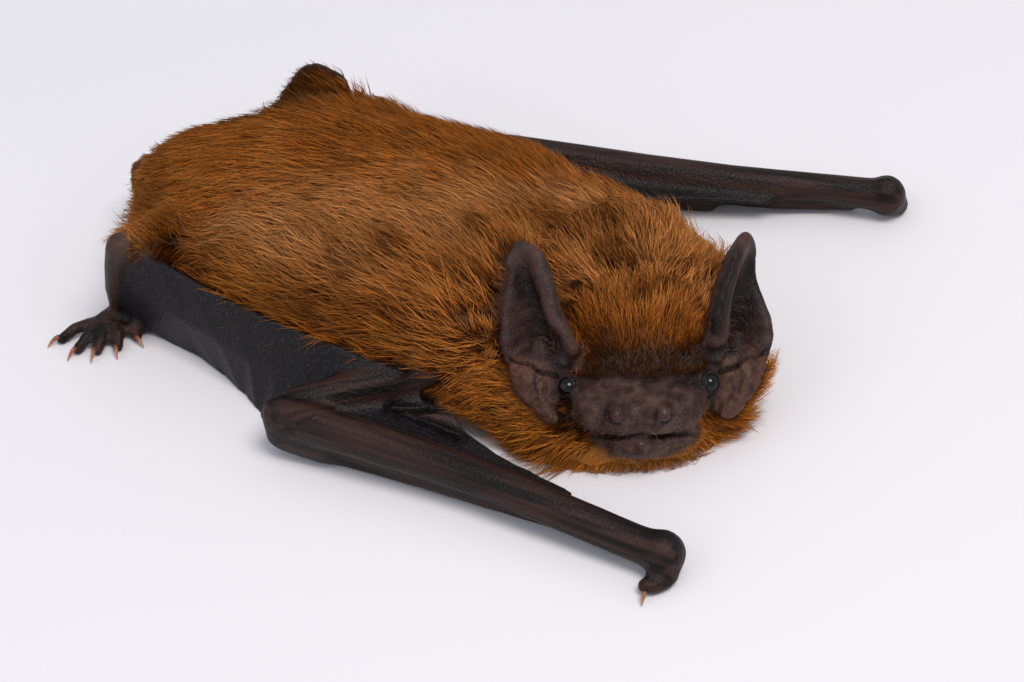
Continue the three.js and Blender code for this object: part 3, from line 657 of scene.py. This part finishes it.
def even_skin():
    """The joined flesh as one even skin, sunk by the depth of the coat, with a mask for each part."""
    mesh = remeshed(joined_flesh(), SKIN_VOXEL)
    points = mesh_points(mesh)
    names = nearest_solids(points, FLESH)
    names = np.where(near_line(points, LEFT_KNEE_FUR)[0] < 2.6, "left_thigh", names)
    names = np.where(near_line(mirrored(in_head(points)), CHEEK_FUR)[0] < 1.8, "throat", names)

    def over(rounds, *words):
        """1 on the solids whose names hold one of the words, eased at their edges."""
        held = [any(word in name for word in words) for name in names]
        return relax(mesh, np.array(held, float), rounds)

    ear = relax(mesh, np.array([name.endswith(("_ear", "_tragus")) for name in names], float), 4)
    lobe, face = over(4, "lobe"), over(6, "muzzle", "lower_jaw")
    thick = relax(mesh, np.isin(names, ROUNDED).astype(float), 6)
    # The whole is evened out, and then the bare face, the limbs and above all the ears are rounded more.
    points = smooth_shape(mesh, points, 26)
    points = relax(mesh, points, 16, 0.5 * np.clip(0.9 * face + lobe + 0.7 * thick, 0, 1))
    points = relax(mesh, points, 22, 0.5 * np.clip(ear + lobe, 0, 1))
    # The skin sinks by the swelling and the coat's depth, and less where thin parts have shrunk.
    coat_depth, length = coat_of(points, names)
    furred = relax(mesh, (length > 0).astype(float), 5)
    depth = relax(mesh, coat_depth, 12) - 0.2 * over(3, "foot") - 0.42 * ear - 0.3 * lobe - 0.15 * face
    normals = relax(mesh, mesh_normals(mesh, points), 3)
    points = points - unit(normals) * (depth + GROWN)[:, None]
    points = relax(mesh, points, 8, 0.5 * ease(0.2, 0.8, furred))
    fingers = over(4, "finger")
    points = relax(mesh, tucked(points, fingers), 20, 0.5 * fingers)
    set_masks(mesh, {
        "furred": furred, "ear": ear, "lobe": lobe, "face": face, "membrane": over(4, "membrane", "web"),
        "coat_depth": coat_depth, "coat_length": relax(mesh, length, 3),
    })
    mesh.vertices.foreach_set("co", points.ravel())
    return mesh, points


def make_skin():
    """The finished skin: finer on the face, with its features carved and every mask its look needs."""
    mesh, points = even_skin()
    if ROOMY:
        here = in_head(points)
        face = (here[:, 1] < 10.5) & (np.abs(here[:, 0]) < 13) & (here[:, 2] > -4.5) & (here[:, 2] < 8)
        refine(mesh, face)
        points = mesh_points(mesh)
    masks = {name: get_mask(mesh, name) for name in ("furred", "ear", "lobe", "face", "membrane")}
    here = in_head(points)
    half = mirrored(here)
    near = np.flatnonzero((half[:, 1] < 13) & (half[:, 0] < 14) & (half[:, 2] > -6))
    rough = (1 - 2 * np.abs(noise(points, 0.55, 41))) * np.clip(masks["face"] + 2 * masks["lobe"], 0, 3)
    push, dark, wet = np.zeros((3, len(points)))
    push[near], dark[near], wet[near] = sculpt_face(half[near], rough[near])
    normals = mesh_normals(mesh, points)
    ear_push, rim, hollow, waist = sculpt_ears(here, normals, masks["ear"])
    points = points + normals * (push + ear_push)[:, None] + waist[:, None] * HEAD_AXES[0]
    # The web's slits are carved deep and laid in painted shade; its fold is raised and given a painted
    # highlight.
    slits, fold = sculpt_web(points)
    points = points + normals * (0.3 * fold - 1.3 * slits)[:, None]
    points, lids = close_lids(points)
    points[:, 2] = np.maximum(points[:, 2], 0)
    marks = markings(points)
    # Painted shade over the web on the left side, in the shade of the left arm; and the face skin's own dark
    # markings.
    shade = 0.55 * masks["membrane"] * (points[:, 0] > 10) + 0.85 * marks["dark"] * masks["face"]
    # Painted highlight: the rolled ear rims and the web's raised fold are made paler; the right knee spot is
    # its own pinkish skin.
    highlight_and_pink_knee = rim + 0.55 * fold + 0.8 * by_spot(points, RIGHT_KNEE, 2.1)
    # Near-black painted shade in the mouth, nostrils, folds, eye creases, web slits and left web, plus dark
    # lid and face skin.
    set_masks(mesh, masks | marks | {
        "wet": wet, "hollow": hollow, "streak": streaks(points), "rim": np.clip(highlight_and_pink_knee, 0, 1),
        "pits": np.clip(dark + lids + slits + shade, 0, 1),
    })
    return mesh, points


# ---- Materials ----

def linear(colour):
    """An sRGB hex colour as linear red, green, blue and alpha."""
    channels = [int(colour[i:i + 2], 16) / 255 for i in (1, 3, 5)]
    return [c / 12.92 if c <= 0.04045 else ((c + 0.055) / 1.055) ** 2.4 for c in channels] + [1.0]


def add(tree, kind, inputs=None, stops=(), gives=0, **settings):
    """Adds a node with its settings, what its inputs hold or are linked from, and a ramp's stops."""
    node = tree.nodes.new(kind)
    for key, value in settings.items():
        setattr(node, key, value)
    for key, value in (inputs or {}).items():
        if isinstance(value, bpy.types.NodeSocket):
            tree.links.new(value, node.inputs[key])
        else:
            node.inputs[key].default_value = value
    for i, (place, colour) in enumerate(stops):
        ramp = node.color_ramp.elements
        stop = ramp[i] if i < 2 else ramp.new(place)
        stop.position = place
        stop.color = linear(colour)
    return node.outputs[gives] if len(node.outputs) else None


def material(name, surface):
    """A material whose surface shader has the inputs that `surface` gives for its node tree."""
    made = bpy.data.materials.new(name)
    made.use_nodes = True
    tree = made.node_tree
    tree.nodes.clear()
    shader = add(tree, "ShaderNodeBsdfPrincipled", surface(tree))
    add(tree, "ShaderNodeOutputMaterial", {"Surface": shader})
    return made


def laid_over(tree, colour, name, over, strength=1.0):
    """Lays one colour over another as strongly as the mask of that name says."""
    mask = add(tree, "ShaderNodeAttribute", gives="Fac", attribute_name=name)
    if strength < 1:
        mask = add(tree, "ShaderNodeMath", {0: mask, 1: strength}, operation="MULTIPLY")
    layers = {"Factor": mask, "A": colour, "B": over}
    return add(tree, "ShaderNodeMix", layers, gives="Result", data_type="RGBA")


MARKING_TONES = (("grey", "#cb9560", 0.52), ("gold", "#cd873a", 0.5), ("dark", "#1a0a04", 0.88))


def coat_colour(tree, colour):
    """Lays the coat's markings, with the painted shade of the lower flanks, over its plain colour."""
    for name, tone, strength in MARKING_TONES:
        colour = laid_over(tree, colour, name, linear(tone), strength)
    return colour


def bat_skin(tree):
    """Bare skin: thin, dark, faintly moist, finely creased, so it shines softly and unevenly."""
    place = add(tree, "ShaderNodeTexCoord", gives="Object")
    grain = add(tree, "ShaderNodeTexNoise", {"Vector": place, "Scale": 1 / (0.3 * MM), "Detail": 6.0})
    blotch = add(tree, "ShaderNodeTexNoise", {"Vector": place, "Scale": 1 / (1.3 * MM), "Detail": 8.0})
    streak = add(tree, "ShaderNodeAttribute", gives="Fac", attribute_name="streak")
    colour = add(tree, "ShaderNodeValToRGB", {"Fac": streak}, ((0.2, "#0f0908"), (0.8, "#35221c")))
    for name, texture, *stops in (
        ("face", blotch, (0.36, "#2a1a16"), (0.72, "#55403a"), (0.52, "#3e2b26")),
        ("lobe", blotch, (0.35, "#352019"), (0.7, "#5a3d33")),
        ("ear", blotch, (0.3, "#2a1c1a"), (0.7, "#3f2f2b")),
        # Painted shade inside each ear's hollow, laid near black.
        ("hollow", blotch, (0.3, "#0d0706"), (0.7, "#1d110f")),
        ("membrane", grain, (0.35, "#0c0a0d"), (0.78, "#403b40"), (0.6, "#1a171a")),
        # Paler skin: painted highlight on the ear rims and the web's fold, and the right knee's own pinkish
        # spot.
        ("rim", blotch, (0.3, "#3f2c27"), (0.7, "#594038")),
        ("furred", grain, (0.3, "#34190b"), (0.8, "#5a2f14")),
    ):
        layer = add(tree, "ShaderNodeValToRGB", {"Fac": texture}, stops)
        layer = coat_colour(tree, layer) if name == "furred" else layer
        colour = laid_over(tree, colour, name, layer)
    # Painted shade in mouth, nostrils, folds, eye creases, web slits and left web, plus the lids' and face's
    # dark skin.
    colour = laid_over(tree, colour, "pits", linear("#0a0606"))
    cells = add(tree, "ShaderNodeTexVoronoi", {"Vector": place, "Scale": 1 / (0.3 * MM)})
    creases = add(tree, "ShaderNodeBump", {"Height": cells, "Strength": 0.5, "Distance": 0.12 * MM})
    bumps = {"Height": grain, "Strength": 0.5, "Distance": 0.16 * MM, "Normal": creases}
    wet = add(tree, "ShaderNodeAttribute", gives="Fac", attribute_name="wet")
    return {
        "Base Color": colour, "IOR": 1.42, "Specular IOR Level": 0.25,
        "Roughness": add(tree, "ShaderNodeMath", {0: wet, 1: -0.3, 2: 0.46}, operation="MULTIPLY_ADD"),
        "Normal": add(tree, "ShaderNodeBump", bumps),
        "Subsurface Weight": 0.05, "Subsurface Scale": 0.4 * MM,
    }


def bat_fur(tree):
    """Hair: dark at the root, cinnamon, paler towards the tip, so fine that the coat looks matt."""
    along = add(tree, "ShaderNodeAttribute", gives="Fac", attribute_name="along")
    shade = add(tree, "ShaderNodeAttribute", gives="Fac", attribute_name="shade")
    stops = ((0.0, "#2c1509"), (1.0, "#ecb570"), (0.4, "#84420f"), (0.75, "#bc7029"))
    colour = coat_colour(tree, add(tree, "ShaderNodeValToRGB", {"Fac": along}, stops))
    light = add(tree, "ShaderNodeMath", {0: shade, 1: 1.0, 2: 1.0}, operation="MULTIPLY_ADD")
    colour = add(tree, "ShaderNodeHueSaturation", {"Color": colour, "Value": light})
    return {"Base Color": colour, "Roughness": 0.75, "IOR": 1.5, "Specular IOR Level": 0.02}


def wet_eye(tree):
    """The eye: a clear wet cornea over an iris so dark that it looks black."""
    return {"Base Color": linear("#07080b"), "Roughness": 0.06, "IOR": 1.38}


def claw_horn(tree):
    """Claw: polished translucent horn, orange-brown, paler at the point."""
    along = add(tree, "ShaderNodeAttribute", gives="Fac", attribute_name="along")
    stops = ((0.0, "#4a2a1c"), (1.0, "#c08050"), (0.4, "#8a5032"))
    colour = add(tree, "ShaderNodeValToRGB", {"Fac": along}, stops)
    return {"Base Color": colour, "Roughness": 0.3, "IOR": 1.54,
            "Subsurface Weight": 0.3, "Subsurface Scale": 0.3 * MM}


def pale_paper(tree):
    """The floor: matt white paper."""
    return {"Base Color": linear("#e2e2e7"), "Roughness": 0.85}


# ---- Pieces ----

def piece(name, mesh, look, stands_for=()):
    """A visible piece that rides the body, in the place of the solids it stands for."""
    mesh.materials.append(look)
    mesh.shade_smooth()
    made = in_scene(name, mesh)
    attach(made, "root")
    if stands_for:
        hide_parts(*stands_for)
    return made


def spokes(around, across, up):
    """Arrows from the middle of a ring to its points."""
    turns = np.arange(around) * 2 * math.pi / around
    return np.cos(turns)[:, None] * across + np.sin(turns)[:, None] * up


def lathe(rings, around):
    """Quads between rings of points, closed by a first and last single point."""
    points = [rings[0]]
    for ring in rings[1:-1]:
        points.extend(ring)
    points.append(rings[-1])
    faces = []
    count = len(rings) - 2
    last = len(points) - 1
    for i in range(around):
        j = (i + 1) % around
        faces.append((0, 1 + j, 1 + i))
        faces.append((last, last - around + i, last - around + j))
        for r in range(count - 1):
            a, b = 1 + r * around, 1 + (r + 1) * around
            faces.append((a + i, a + j, b + j, b + i))
    return np.array(points), faces


def make_eye(side, look):
    """An eyeball with a slightly bulging cornea on its outer side."""
    name = f"{side}_eye"
    middle, out = centre(name), gaze(side)
    across = unit(np.cross(out, [0, 0, 1]))
    around, steps = 32, 20
    ring = spokes(around, across, np.cross(across, out))
    rings = [middle + out * EYE_RADIUS * 1.06]
    for angle in (math.pi * k / steps for k in range(1, steps)):
        radius = EYE_RADIUS * (1 + 0.06 * math.exp(-(angle / 0.7) ** 2))
        rings.append(middle + radius * (math.cos(angle) * out + math.sin(angle) * ring))
    rings.append(middle - out * EYE_RADIUS)
    points, faces = lathe(rings, around)
    return piece(name, mesh_from(name, points * MM, faces), look, [name])


def make_claw(name, anchor, look):
    """A curved, tapering claw from the toe's end to the solid's far point."""
    points = SHAPES[name][0]
    away = np.linalg.norm(points - anchor, axis=1)
    root = points[away < np.percentile(away, 35)].mean(0)
    tip = points[away.argmax()]
    root = root - unit(tip - root) * 0.35  # sunk into the toe
    tip = np.maximum(tip, [-1e9, -1e9, 0.06])
    ahead = unit(tip - root)
    side = unit(np.cross(ahead, [0, 0, 1]))
    length = np.linalg.norm(tip - root)
    around, steps = 10, 9
    ring = spokes(around, 0.75 * side, np.cross(side, ahead))
    rings, along = [root], [0.0]
    for t in (k / steps for k in range(steps)):
        arch = np.array([0, 0, 0.16 * length * math.sin(math.pi * t)])
        rings.append(root + (tip - root) * t + arch + CLAW_RADIUS * (1 - t) ** 0.6 * ring)
        along += [t] * around
    points, faces = lathe(rings + [tip], around)
    points[:, 2] = np.maximum(points[:, 2], FLOOR_CLEARANCE)
    mesh = mesh_from(name, points * MM, faces)
    set_masks(mesh, {"along": along + [1.0]})
    return piece(name, mesh, look, [name])


# ---- Coat ----

def lie_of_coat(points, normals):
    """The way the hairs point at each place: away from the face, over the nape and back to the rump."""
    here = in_head(points)
    out_axis, back_axis, up_axis = HEAD_AXES
    side = np.clip(0.045 * (points[:, 0] - centre("trunk")[0]) - 0.25, -0.7, 0.35)[:, None]
    top = ease(11, 15, points[:, 2])[:, None]
    # On the body: back, drooping on the flanks, but up at the right shoulder and outward before it.
    body = np.array([0, 1.0, 0]) + side * top * [1, 0, 0] + (1 - top) * [0, 0, -0.12]
    fan = by_line(points, SHOULDER_FAN, 6)[:, None]
    front = by_spot(points, SHOULDER_FRONT, 6)[:, None]
    body = body + fan * [0.35, 0, 1.0] + front * [-0.6, 0, 0.1]
    # On the head: back over the crown, and away from the snout on the cheeks and under the chin.
    crown = back_axis + 0.3 * up_axis + 0.05 * here[:, :1] * out_axis
    around = np.stack([here[:, 0] * 0.16, 0.25 + 0 * here[:, 0], (here[:, 2] - 1) * 0.16], axis=1)
    outer = ease(8.8, 10.5, np.abs(here[:, 0])) * ease(8, 5, here[:, 2])
    outer = outer * ease(14, 11, here[:, 1])
    low = np.maximum(ease(2.0, -1.5, here[:, 2]), outer)[:, None]
    head = unit(crown) * (1 - low) + unit(around @ HEAD_AXES) * low
    behind = ease(12, 22, here[:, 1])[:, None]
    flow = unit(head) * (1 - behind) + unit(body) * behind
    for amount, size, seeds in ((0.2, 3.5, (11, 12, 13)), (0.1, 1.2, (14, 15, 16))):
        flow = flow + amount * np.stack([noise(points, size, seed) for seed in seeds], axis=1)
    return unit(flow - (flow * normals).sum(1, keepdims=True) * normals)


class Hide:
    """The plain copy of the skin that hairs grow from, with its unwrap and the coat's length and lie."""

    def __init__(self, skin_mesh, skin_points):
        mesh = remeshed(skin_mesh, LOW_VOXEL)
        owner = in_scene("hide", mesh)
        bpy.context.view_layer.objects.active = owner
        owner.select_set(True)
        bpy.ops.object.mode_set(mode="EDIT")
        bpy.ops.mesh.select_all(action="SELECT")
        bpy.ops.mesh.quads_convert_to_tris()
        bpy.ops.uv.smart_project(angle_limit=math.radians(66), island_margin=0.004)
        bpy.ops.object.mode_set(mode="OBJECT")
        self.points = mesh_points(mesh)
        self.normals = mesh_normals(mesh, self.points)
        self.faces = read(mesh.polygons, "vertices", 3, np.int32)
        self.unwrap = read(mesh.uv_layers.active.data, "uv", 2).reshape(-1, 3, 2)
        self.area = areas(self.points, self.faces)
        skin_faces = [list(face.vertices) for face in skin_mesh.polygons]
        self.skin = BVHTree.FromPolygons(skin_points.tolist(), skin_faces)
        below = np.array([skin_faces[self.skin.find_nearest(point)[2]][0] for point in self.points])
        masks = ("coat_depth", "coat_length", "furred", "ear", "lobe", "face", "membrane")
        depth, self.length, self.furred, self.ear, self.lobe, self.face, self.web = (
            get_mask(skin_mesh, name)[below] for name in masks)
        half = mirrored(in_head(self.points))
        ruff = by_line(half, RUFF, 2.4) * ease(0.3, 0.0, self.lobe + self.ear)
        ruff = ruff * ease(13, 11, half[:, 1])
        fan = by_line(self.points, SHOULDER_FAN, 6)
        self.length = self.length * (1 + 0.3 * ruff) * (1 - 0.4 * ease(25, 32, self.points[:, 1]))
        self.rise = relax(mesh, depth, 3) * (1 + 0.25 * fan) + 0.7 * ruff * self.length
        self.flow = lie_of_coat(self.points, self.normals)
        self.tree = BVHTree.FromPolygons(self.points.tolist(), self.faces.tolist())
        bpy.data.objects.remove(owner)

    def roots(self, density, seed):
        """Random places where hair grows; `density` is the hairs for each square millimetre."""
        rng = np.random.default_rng(seed)
        each = rng.poisson(self.area * density[self.faces].mean(1))
        face = np.repeat(np.arange(len(each)), each)
        u, v = in_triangle(*rng.random((2, len(face))))
        return face, np.stack([1 - u - v, u, v], axis=1)

    def hairs_at(self, density):
        """How many hairs a density gives in all."""
        return (self.area * density[self.faces].mean(1)).sum()

    def at(self, values, face, weights):
        """A value, or a place, where the weights point to in each face."""
        corners = values[self.faces[face]]
        return (corners * (weights[..., None] if values.ndim > 1 else weights)).sum(1)

    def snapped(self, points):
        """The nearest places on the finished skin."""
        return np.array([self.skin.find_nearest(point)[0] for point in points])


STEPS = (0.0, 0.5, 1.0)  # places along a hair that its path is given at
APART = 1.5  # roots are matched to locks this far out, so that the two sides of a fold stay apart


def guide_paths(hide, face, weights, length, rise):
    """The path of each lock over the skin: it leaves at a slant, then follows the lie of the coat."""
    here = hide.at(hide.points, face, weights)
    root = here.copy()
    length, rise = hide.at(length, face, weights), hide.at(rise, face, weights)
    normal, flow = (unit(hide.at(values, face, weights)) for values in (hide.normals, hide.flow))
    path = np.empty((len(face), len(STEPS), 3))
    path[:, 0] = root
    for k, (before, step) in enumerate(zip(STEPS, STEPS[1:]), 1):
        target = here + flow * ((step - before) * length)[:, None]
        for i in range(len(face)):
            here[i], normal[i], index, _ = hide.tree.find_nearest(target[i])
            flow[i] = hide.flow[hide.faces[index]].mean(0)
        path[:, k] = here + normal * (rise * (1 - (1 - step) ** 2))[:, None]
        flow = unit(flow - (flow * normal).sum(1, keepdims=True) * normal)
    # A sharp bend is eased, so that no hair kinks where the skin folds.
    first, second = path[:, 1] - path[:, 0], path[:, 2] - path[:, 1]
    sharp = 0.45 * ease(0.85, 0.2, (unit(first) * unit(second)).sum(1, keepdims=True))
    eased = unit(sharp * unit(first) + (1 - sharp) * unit(second))
    path[:, 2] = path[:, 1] + eased * np.linalg.norm(second, axis=1, keepdims=True)
    return root, path


def grow(hide, density, length, rise, clump, seed, guides=0.12):
    """Hairs gathered into locks: each one's path, its root, the root's place on the unwrap, and its lock."""
    rng = np.random.default_rng(seed)
    face, weights = hide.roots(density * guides, seed + 1)
    guide_root, guide_path = guide_paths(hide, face, weights, length, rise)
    guide_spot = guide_root + APART * unit(hide.at(hide.normals, face, weights))
    face, weights = hide.roots(density, seed + 2)
    root = hide.at(hide.points, face, weights)
    normal = unit(hide.at(hide.normals, face, weights))
    lock, _ = nearest(guide_spot, root + APART * normal)
    count, normal = len(root), normal[:, None]
    along = np.array(STEPS)[None, :, None]
    reach = rng.uniform(0.55, 1.2, (count, 1, 1)) * (guide_path[lock] - guide_root[lock][:, None])
    turn = rng.normal(0, 0.25, (count, 1, 1))
    reach = np.cos(turn) * reach + np.sin(turn) * np.cross(normal, reach)
    base = hide.snapped(root)
    path = base[:, None] + reach - clump * along ** 1.3 * (root - guide_root[lock])[:, None]
    path += rng.normal(0, STRAY, (count, 1, 3)) * along ** 1.5
    path[:, 0] -= ROOT_SUNK * normal[:, 0]
    path[:, :, 2] = np.maximum(path[:, :, 2], FLOOR_CLEARANCE + 0.08)
    unwrap = (hide.unwrap[face] * weights[..., None]).sum(1)
    return path, root, unwrap, lock


def hair_mesh(name, path, radius, unwrap, masks):
    """Each hair as a closed three-sided blade that tapers to a point, mapped to a speck of the unwrap."""
    count, steps, _ = path.shape
    rings = steps - 1
    ahead = unit(np.gradient(path, axis=1))
    up = unit(np.cross(ahead, np.array([0.3, 0.2, 1.0])))
    side = np.cross(ahead, up)
    size = radius[:, None, None] * np.linspace(0.85, 1.0, rings)[None, :, None]
    edges = []
    for turn in (2 * math.pi * j / 3 for j in range(3)):
        out = math.cos(turn) * up[:, :rings] + math.sin(turn) * side[:, :rings]
        edges.append(path[:, :rings] + size * out)
    body = np.stack(edges, axis=2).reshape(count, rings * 3, 3)
    points = np.concatenate([body, path[:, -1:]], axis=1)
    each = rings * 3 + 1
    faces = []
    for base in range(0, rings * 3 - 3, 3):
        faces += [(base + j, base + (j + 1) % 3, base + 3 + (j + 1) % 3, base + 3 + j) for j in range(3)]
    last = rings * 3 - 3
    faces += [(last + j, last + (j + 1) % 3, rings * 3) for j in range(3)] + [(2, 1, 0)]
    pattern = np.concatenate(faces)
    loops = (np.arange(count)[:, None] * each + pattern[None, :]).ravel()
    starts = np.concatenate([[0], np.cumsum([len(face) for face in faces])[:-1]])
    starts = (np.arange(count)[:, None] * len(pattern) + starts[None, :]).ravel()
    mesh = bpy.data.meshes.new(name)
    mesh.vertices.add(count * each)
    mesh.vertices.foreach_set("co", (points * MM).ravel())
    mesh.loops.add(len(loops))
    mesh.loops.foreach_set("vertex_index", loops.astype(np.int32))
    mesh.polygons.add(len(starts))
    mesh.polygons.foreach_set("loop_start", starts.astype(np.int32))
    mesh.update(calc_edges=True)
    along = np.concatenate([np.repeat(np.linspace(0, 1, steps)[:rings], 3), [1.0]])
    across = np.concatenate([np.tile([-0.5, 0.0, 0.5], rings), [0.0]])
    speck = SPECK * np.stack([across, along - 0.5], axis=1)
    layer = mesh.uv_layers.new(name="OFBake")
    corners = unwrap[:, None, :] + speck[None, :, :]
    layer.data.foreach_set("uv", np.clip(corners.reshape(-1, 2)[loops], 0, 1).ravel())
    masks = {key: np.repeat(values, each) for key, values in masks.items()}
    set_masks(mesh, {"along": np.tile(along, count)} | masks)
    return mesh


def parted(chosen, root, most):
    """Halves a set of hairs across its longest side until each part is small enough for one piece."""
    if len(chosen) <= most:
        return [chosen]
    order = chosen[np.argsort(root[chosen, np.ptp(root[chosen], axis=0).argmax()])]
    return parted(order[:len(order) // 2], root, most) + parted(order[len(order) // 2:], root, most)


def add_hairs(name, chosen, path, root, unwrap, radius, look, marks):
    """Pieces of coat from the chosen hairs, with the markings of their place except what `marks` gives."""
    each = 6 * path.shape[1] - 8  # triangles in a hair
    marks = {key: np.broadcast_to(values, len(root)) for key, values in marks.items()}
    for i, part in enumerate(parted(np.flatnonzero(chosen), root, TRIANGLES_EACH // each)):
        masks = markings(root[part]) | {key: values[part] for key, values in marks.items()}
        hairs = hair_mesh(name, path[part], radius[part], unwrap[part], masks)
        piece(f"{name}_{i + 1}", hairs, look)


def make_coat(hide, look):
    """The coat of the body and head, thick everywhere but under the belly: short hairs, then long ones."""
    under = ease(-0.5, -0.9, hide.normals[:, 2]) * ease(1.5, 0.6, hide.points[:, 2])
    edge = hide.furred + 0.25 * noise(hide.points, 1.3, 46)
    wanted = hide.furred * (edge > 0.35) * (hide.web * (hide.length > 2) < 0.3) * (1 - 0.75 * under)
    wanted = wanted * (1 + 0.9 * (hide.length < 3.2))
    wanted = wanted * ease(0.2, 0.7, near_line(hide.points, PARTING)[0])
    density = wanted / hide.hairs_at(wanted)
    rng = np.random.default_rng(6)
    layers = (("under", SHORT_HAIRS, 0.75, -0.12, 20), ("top", LONG_HAIRS, 1.0, 0.05, 30))
    for layer, hairs, reach, tone, seed in layers:
        length, rise = hide.length * reach, hide.rise * reach
        path, root, unwrap, lock = grow(hide, density * hairs, length, rise, 0.18, seed)
        if layer == "under":
            path = path[:, [0, 2]]
        length = np.linalg.norm(path[:, -1] - path[:, 0], axis=1)
        radius = HAIR_RADIUS * np.clip(length / 3.0, 0.6, 1.0) * rng.uniform(0.75, 1.2, len(root))
        shade = tone + rng.normal(0, 0.12, lock.max() + 1)[lock] + rng.normal(0, 0.24, len(root))
        shade += 0.6 * by_line(root, SHOULDER_FAN, 5) * (rng.random(len(root)) < 0.15)
        shade = np.clip(shade + 0.14 * noise(root, 2.5, 21) + 0.1 * noise(root, 9.0, 22), -0.65, 0.8)
        head, behind = in_head(root)[:, 1] < 12, root[:, 1] > -11
        zones = {"coat_head": head, "coat_neck": ~head & ~behind, "coat_trunk": ~head & behind}
        for name, chosen in zones.items():
            add_hairs(f"{name}_{layer}", chosen, path, root, unwrap, radius, look, {"shade": shade})


def make_whiskers(hide, look):
    """Fine hairs: a fringe behind the ear lobes, and short ones on the brow, the lips and in the ears."""
    here = in_head(hide.points)
    half = mirrored(here)
    back = hide.normals @ HEAD_AXES[1]
    rng = np.random.default_rng(60)
    rims = (near_line(here, np.array(line) * [sign, 1, 1])[0] for sign, line in EAR_RIMS.items())
    rims = np.minimum(*rims)
    lips = hide.face * ease(0.9, -0.2, here[:, 2] - 0.1 * half[:, 0])
    inside = hide.ear * (here[:, 2] < 9) * (half[:, 0] < 10.3) * ease(0.1, 0.5, -back)
    inside = inside * ease(3.2, 2.4, rims) * ease(0.9, 1.5, rims)
    behind = hide.lobe * ease(-0.1, 0.4, back) * ease(8.5, 10, half[:, 0])
    brow = hide.face * ease(1.9, 0.4, near_line(half, BROW_HAIRS)[0] + 0.7 * noise(here, 1.2, 62))
    for name, where, each, size, marks in (
        ("coat_fringe", behind, 70.0, 2.0, {"gold": 0.8, "shade": 0.0, "dark": 0.0, "grey": 0.0}),
        ("coat_brow", brow, 36.0, 0.9, {"gold": 0.0, "shade": -0.2, "dark": 0.85, "grey": 0.0}),
        ("coat_lips", lips, 6.0, 0.42, {"gold": 0.0, "shade": 0.2, "dark": 0.0, "grey": 0.9}),
        ("coat_ears", inside, 4.0, 0.8, {"gold": 0.1, "shade": -0.2, "dark": 0.45, "grey": 0.0}),
    ):
        length = np.full(len(here), size)
        density = where * each * (1 if ROOMY else 0.3)
        path, root, unwrap, _ = grow(hide, density, length, 0.6 * length, 0.2, 61, 0.4)
        radius = WHISKER_RADIUS * size * rng.uniform(0.8, 1.3, len(root))
        add_hairs(name, np.ones(len(root), bool), path, root, unwrap, radius, look, marks)


# ---- Scene ----

def make_floor(look):
    """A wide floor, a hair's breadth below the bat."""
    mesh = mesh_from("floor", np.array([(-3, -3, 0), (3, -3, 0), (3, 3, 0), (-3, 3, 0)]), [(0, 1, 2, 3)])
    mesh.materials.append(look)
    floor = in_scene("floor", mesh)
    floor.location.z = -0.05 * MM


CAMERA_TURNS = -58.48, 39.07, -3.19  # degrees round the bat, up, and of roll
CAMERA_AIM = np.array([-6.14, -7.77, -0.88])
CAMERA_DISTANCE = 240
CAMERA_LENS = 81.5


def camera_axes():
    """The camera's right, up and back."""
    around, height, roll = (math.radians(turn) for turn in CAMERA_TURNS)
    level = np.array([math.cos(around), math.sin(around), 0])
    back = np.array([math.cos(height) * math.sin(around), -math.cos(height) * math.cos(around),
                     math.sin(height)])
    upright = np.cross(back, level)
    right = math.cos(roll) * level + math.sin(roll) * upright
    return right, np.cross(back, right), back


def make_camera():
    right, up, back = camera_axes()
    data = bpy.data.cameras.new("camera")
    data.lens = CAMERA_LENS
    data.sensor_width = 36
    data.clip_start = 0.01
    camera = in_scene("camera", data)
    place = Matrix(np.array([right, up, back]).T.tolist()).to_4x4()
    place.translation = Vector((CAMERA_AIM + back * CAMERA_DISTANCE) * MM)
    camera.matrix_world = place
    bpy.context.scene.camera = camera


def make_light(name, toward, distance, size, power, colour):
    """A square soft light that shines on the bat from the direction `toward`."""
    data = bpy.data.lights.new(name, "AREA")
    data.size = size
    data.energy = power
    data.color = linear(colour)[:3]
    light = in_scene(name, data)
    toward = Vector(unit(np.array(toward, float)))
    light.location = toward * distance
    light.rotation_euler = toward.to_track_quat("Z", "Y").to_euler()


def make_lights():
    right, up, back = camera_axes()
    make_light("key", back + 0.25 * right + 0.55 * up, 0.6, 0.25, 2.3, "#fff6ee")
    make_light("fill", np.array([-1, 0.4, 0.8]), 0.8, 0.6, 1.0, "#eef4ff")
    world = bpy.data.worlds.new("studio")
    world.use_nodes = True
    sky = world.node_tree.nodes["Background"].inputs
    sky["Color"].default_value = linear("#f4f6ff")
    sky["Strength"].default_value = 0.6
    bpy.context.scene.world = world
    bpy.context.scene.view_settings.view_transform = "Standard"


make_camera()
make_lights()
make_floor(material("pale_paper", pale_paper))

skin_mesh, skin_points = make_skin()
skin_mesh.vertices.foreach_set("co", skin_points.ravel())
skin_mesh.update()
hide = Hide(skin_mesh.copy(), skin_points)
skin_mesh.vertices.foreach_set("co", (skin_points * MM).ravel())
skin_mesh.update()
piece("skin", skin_mesh, material("bat_skin", bat_skin), FLESH)

gloss = material("wet_eye", wet_eye)
for side in SIDES:
    make_eye(side, gloss)
horn = material("claw_horn", claw_horn)
for name in HARD:
    if "claw" in name:
        side = name.split("_")[0]
        make_claw(name, centre(f"{side}_thumb" if "thumb" in name else f"{side}_foot"), horn)

fur = material("bat_fur", bat_fur)
make_coat(hide, fur)
make_whiskers(hide, fur)
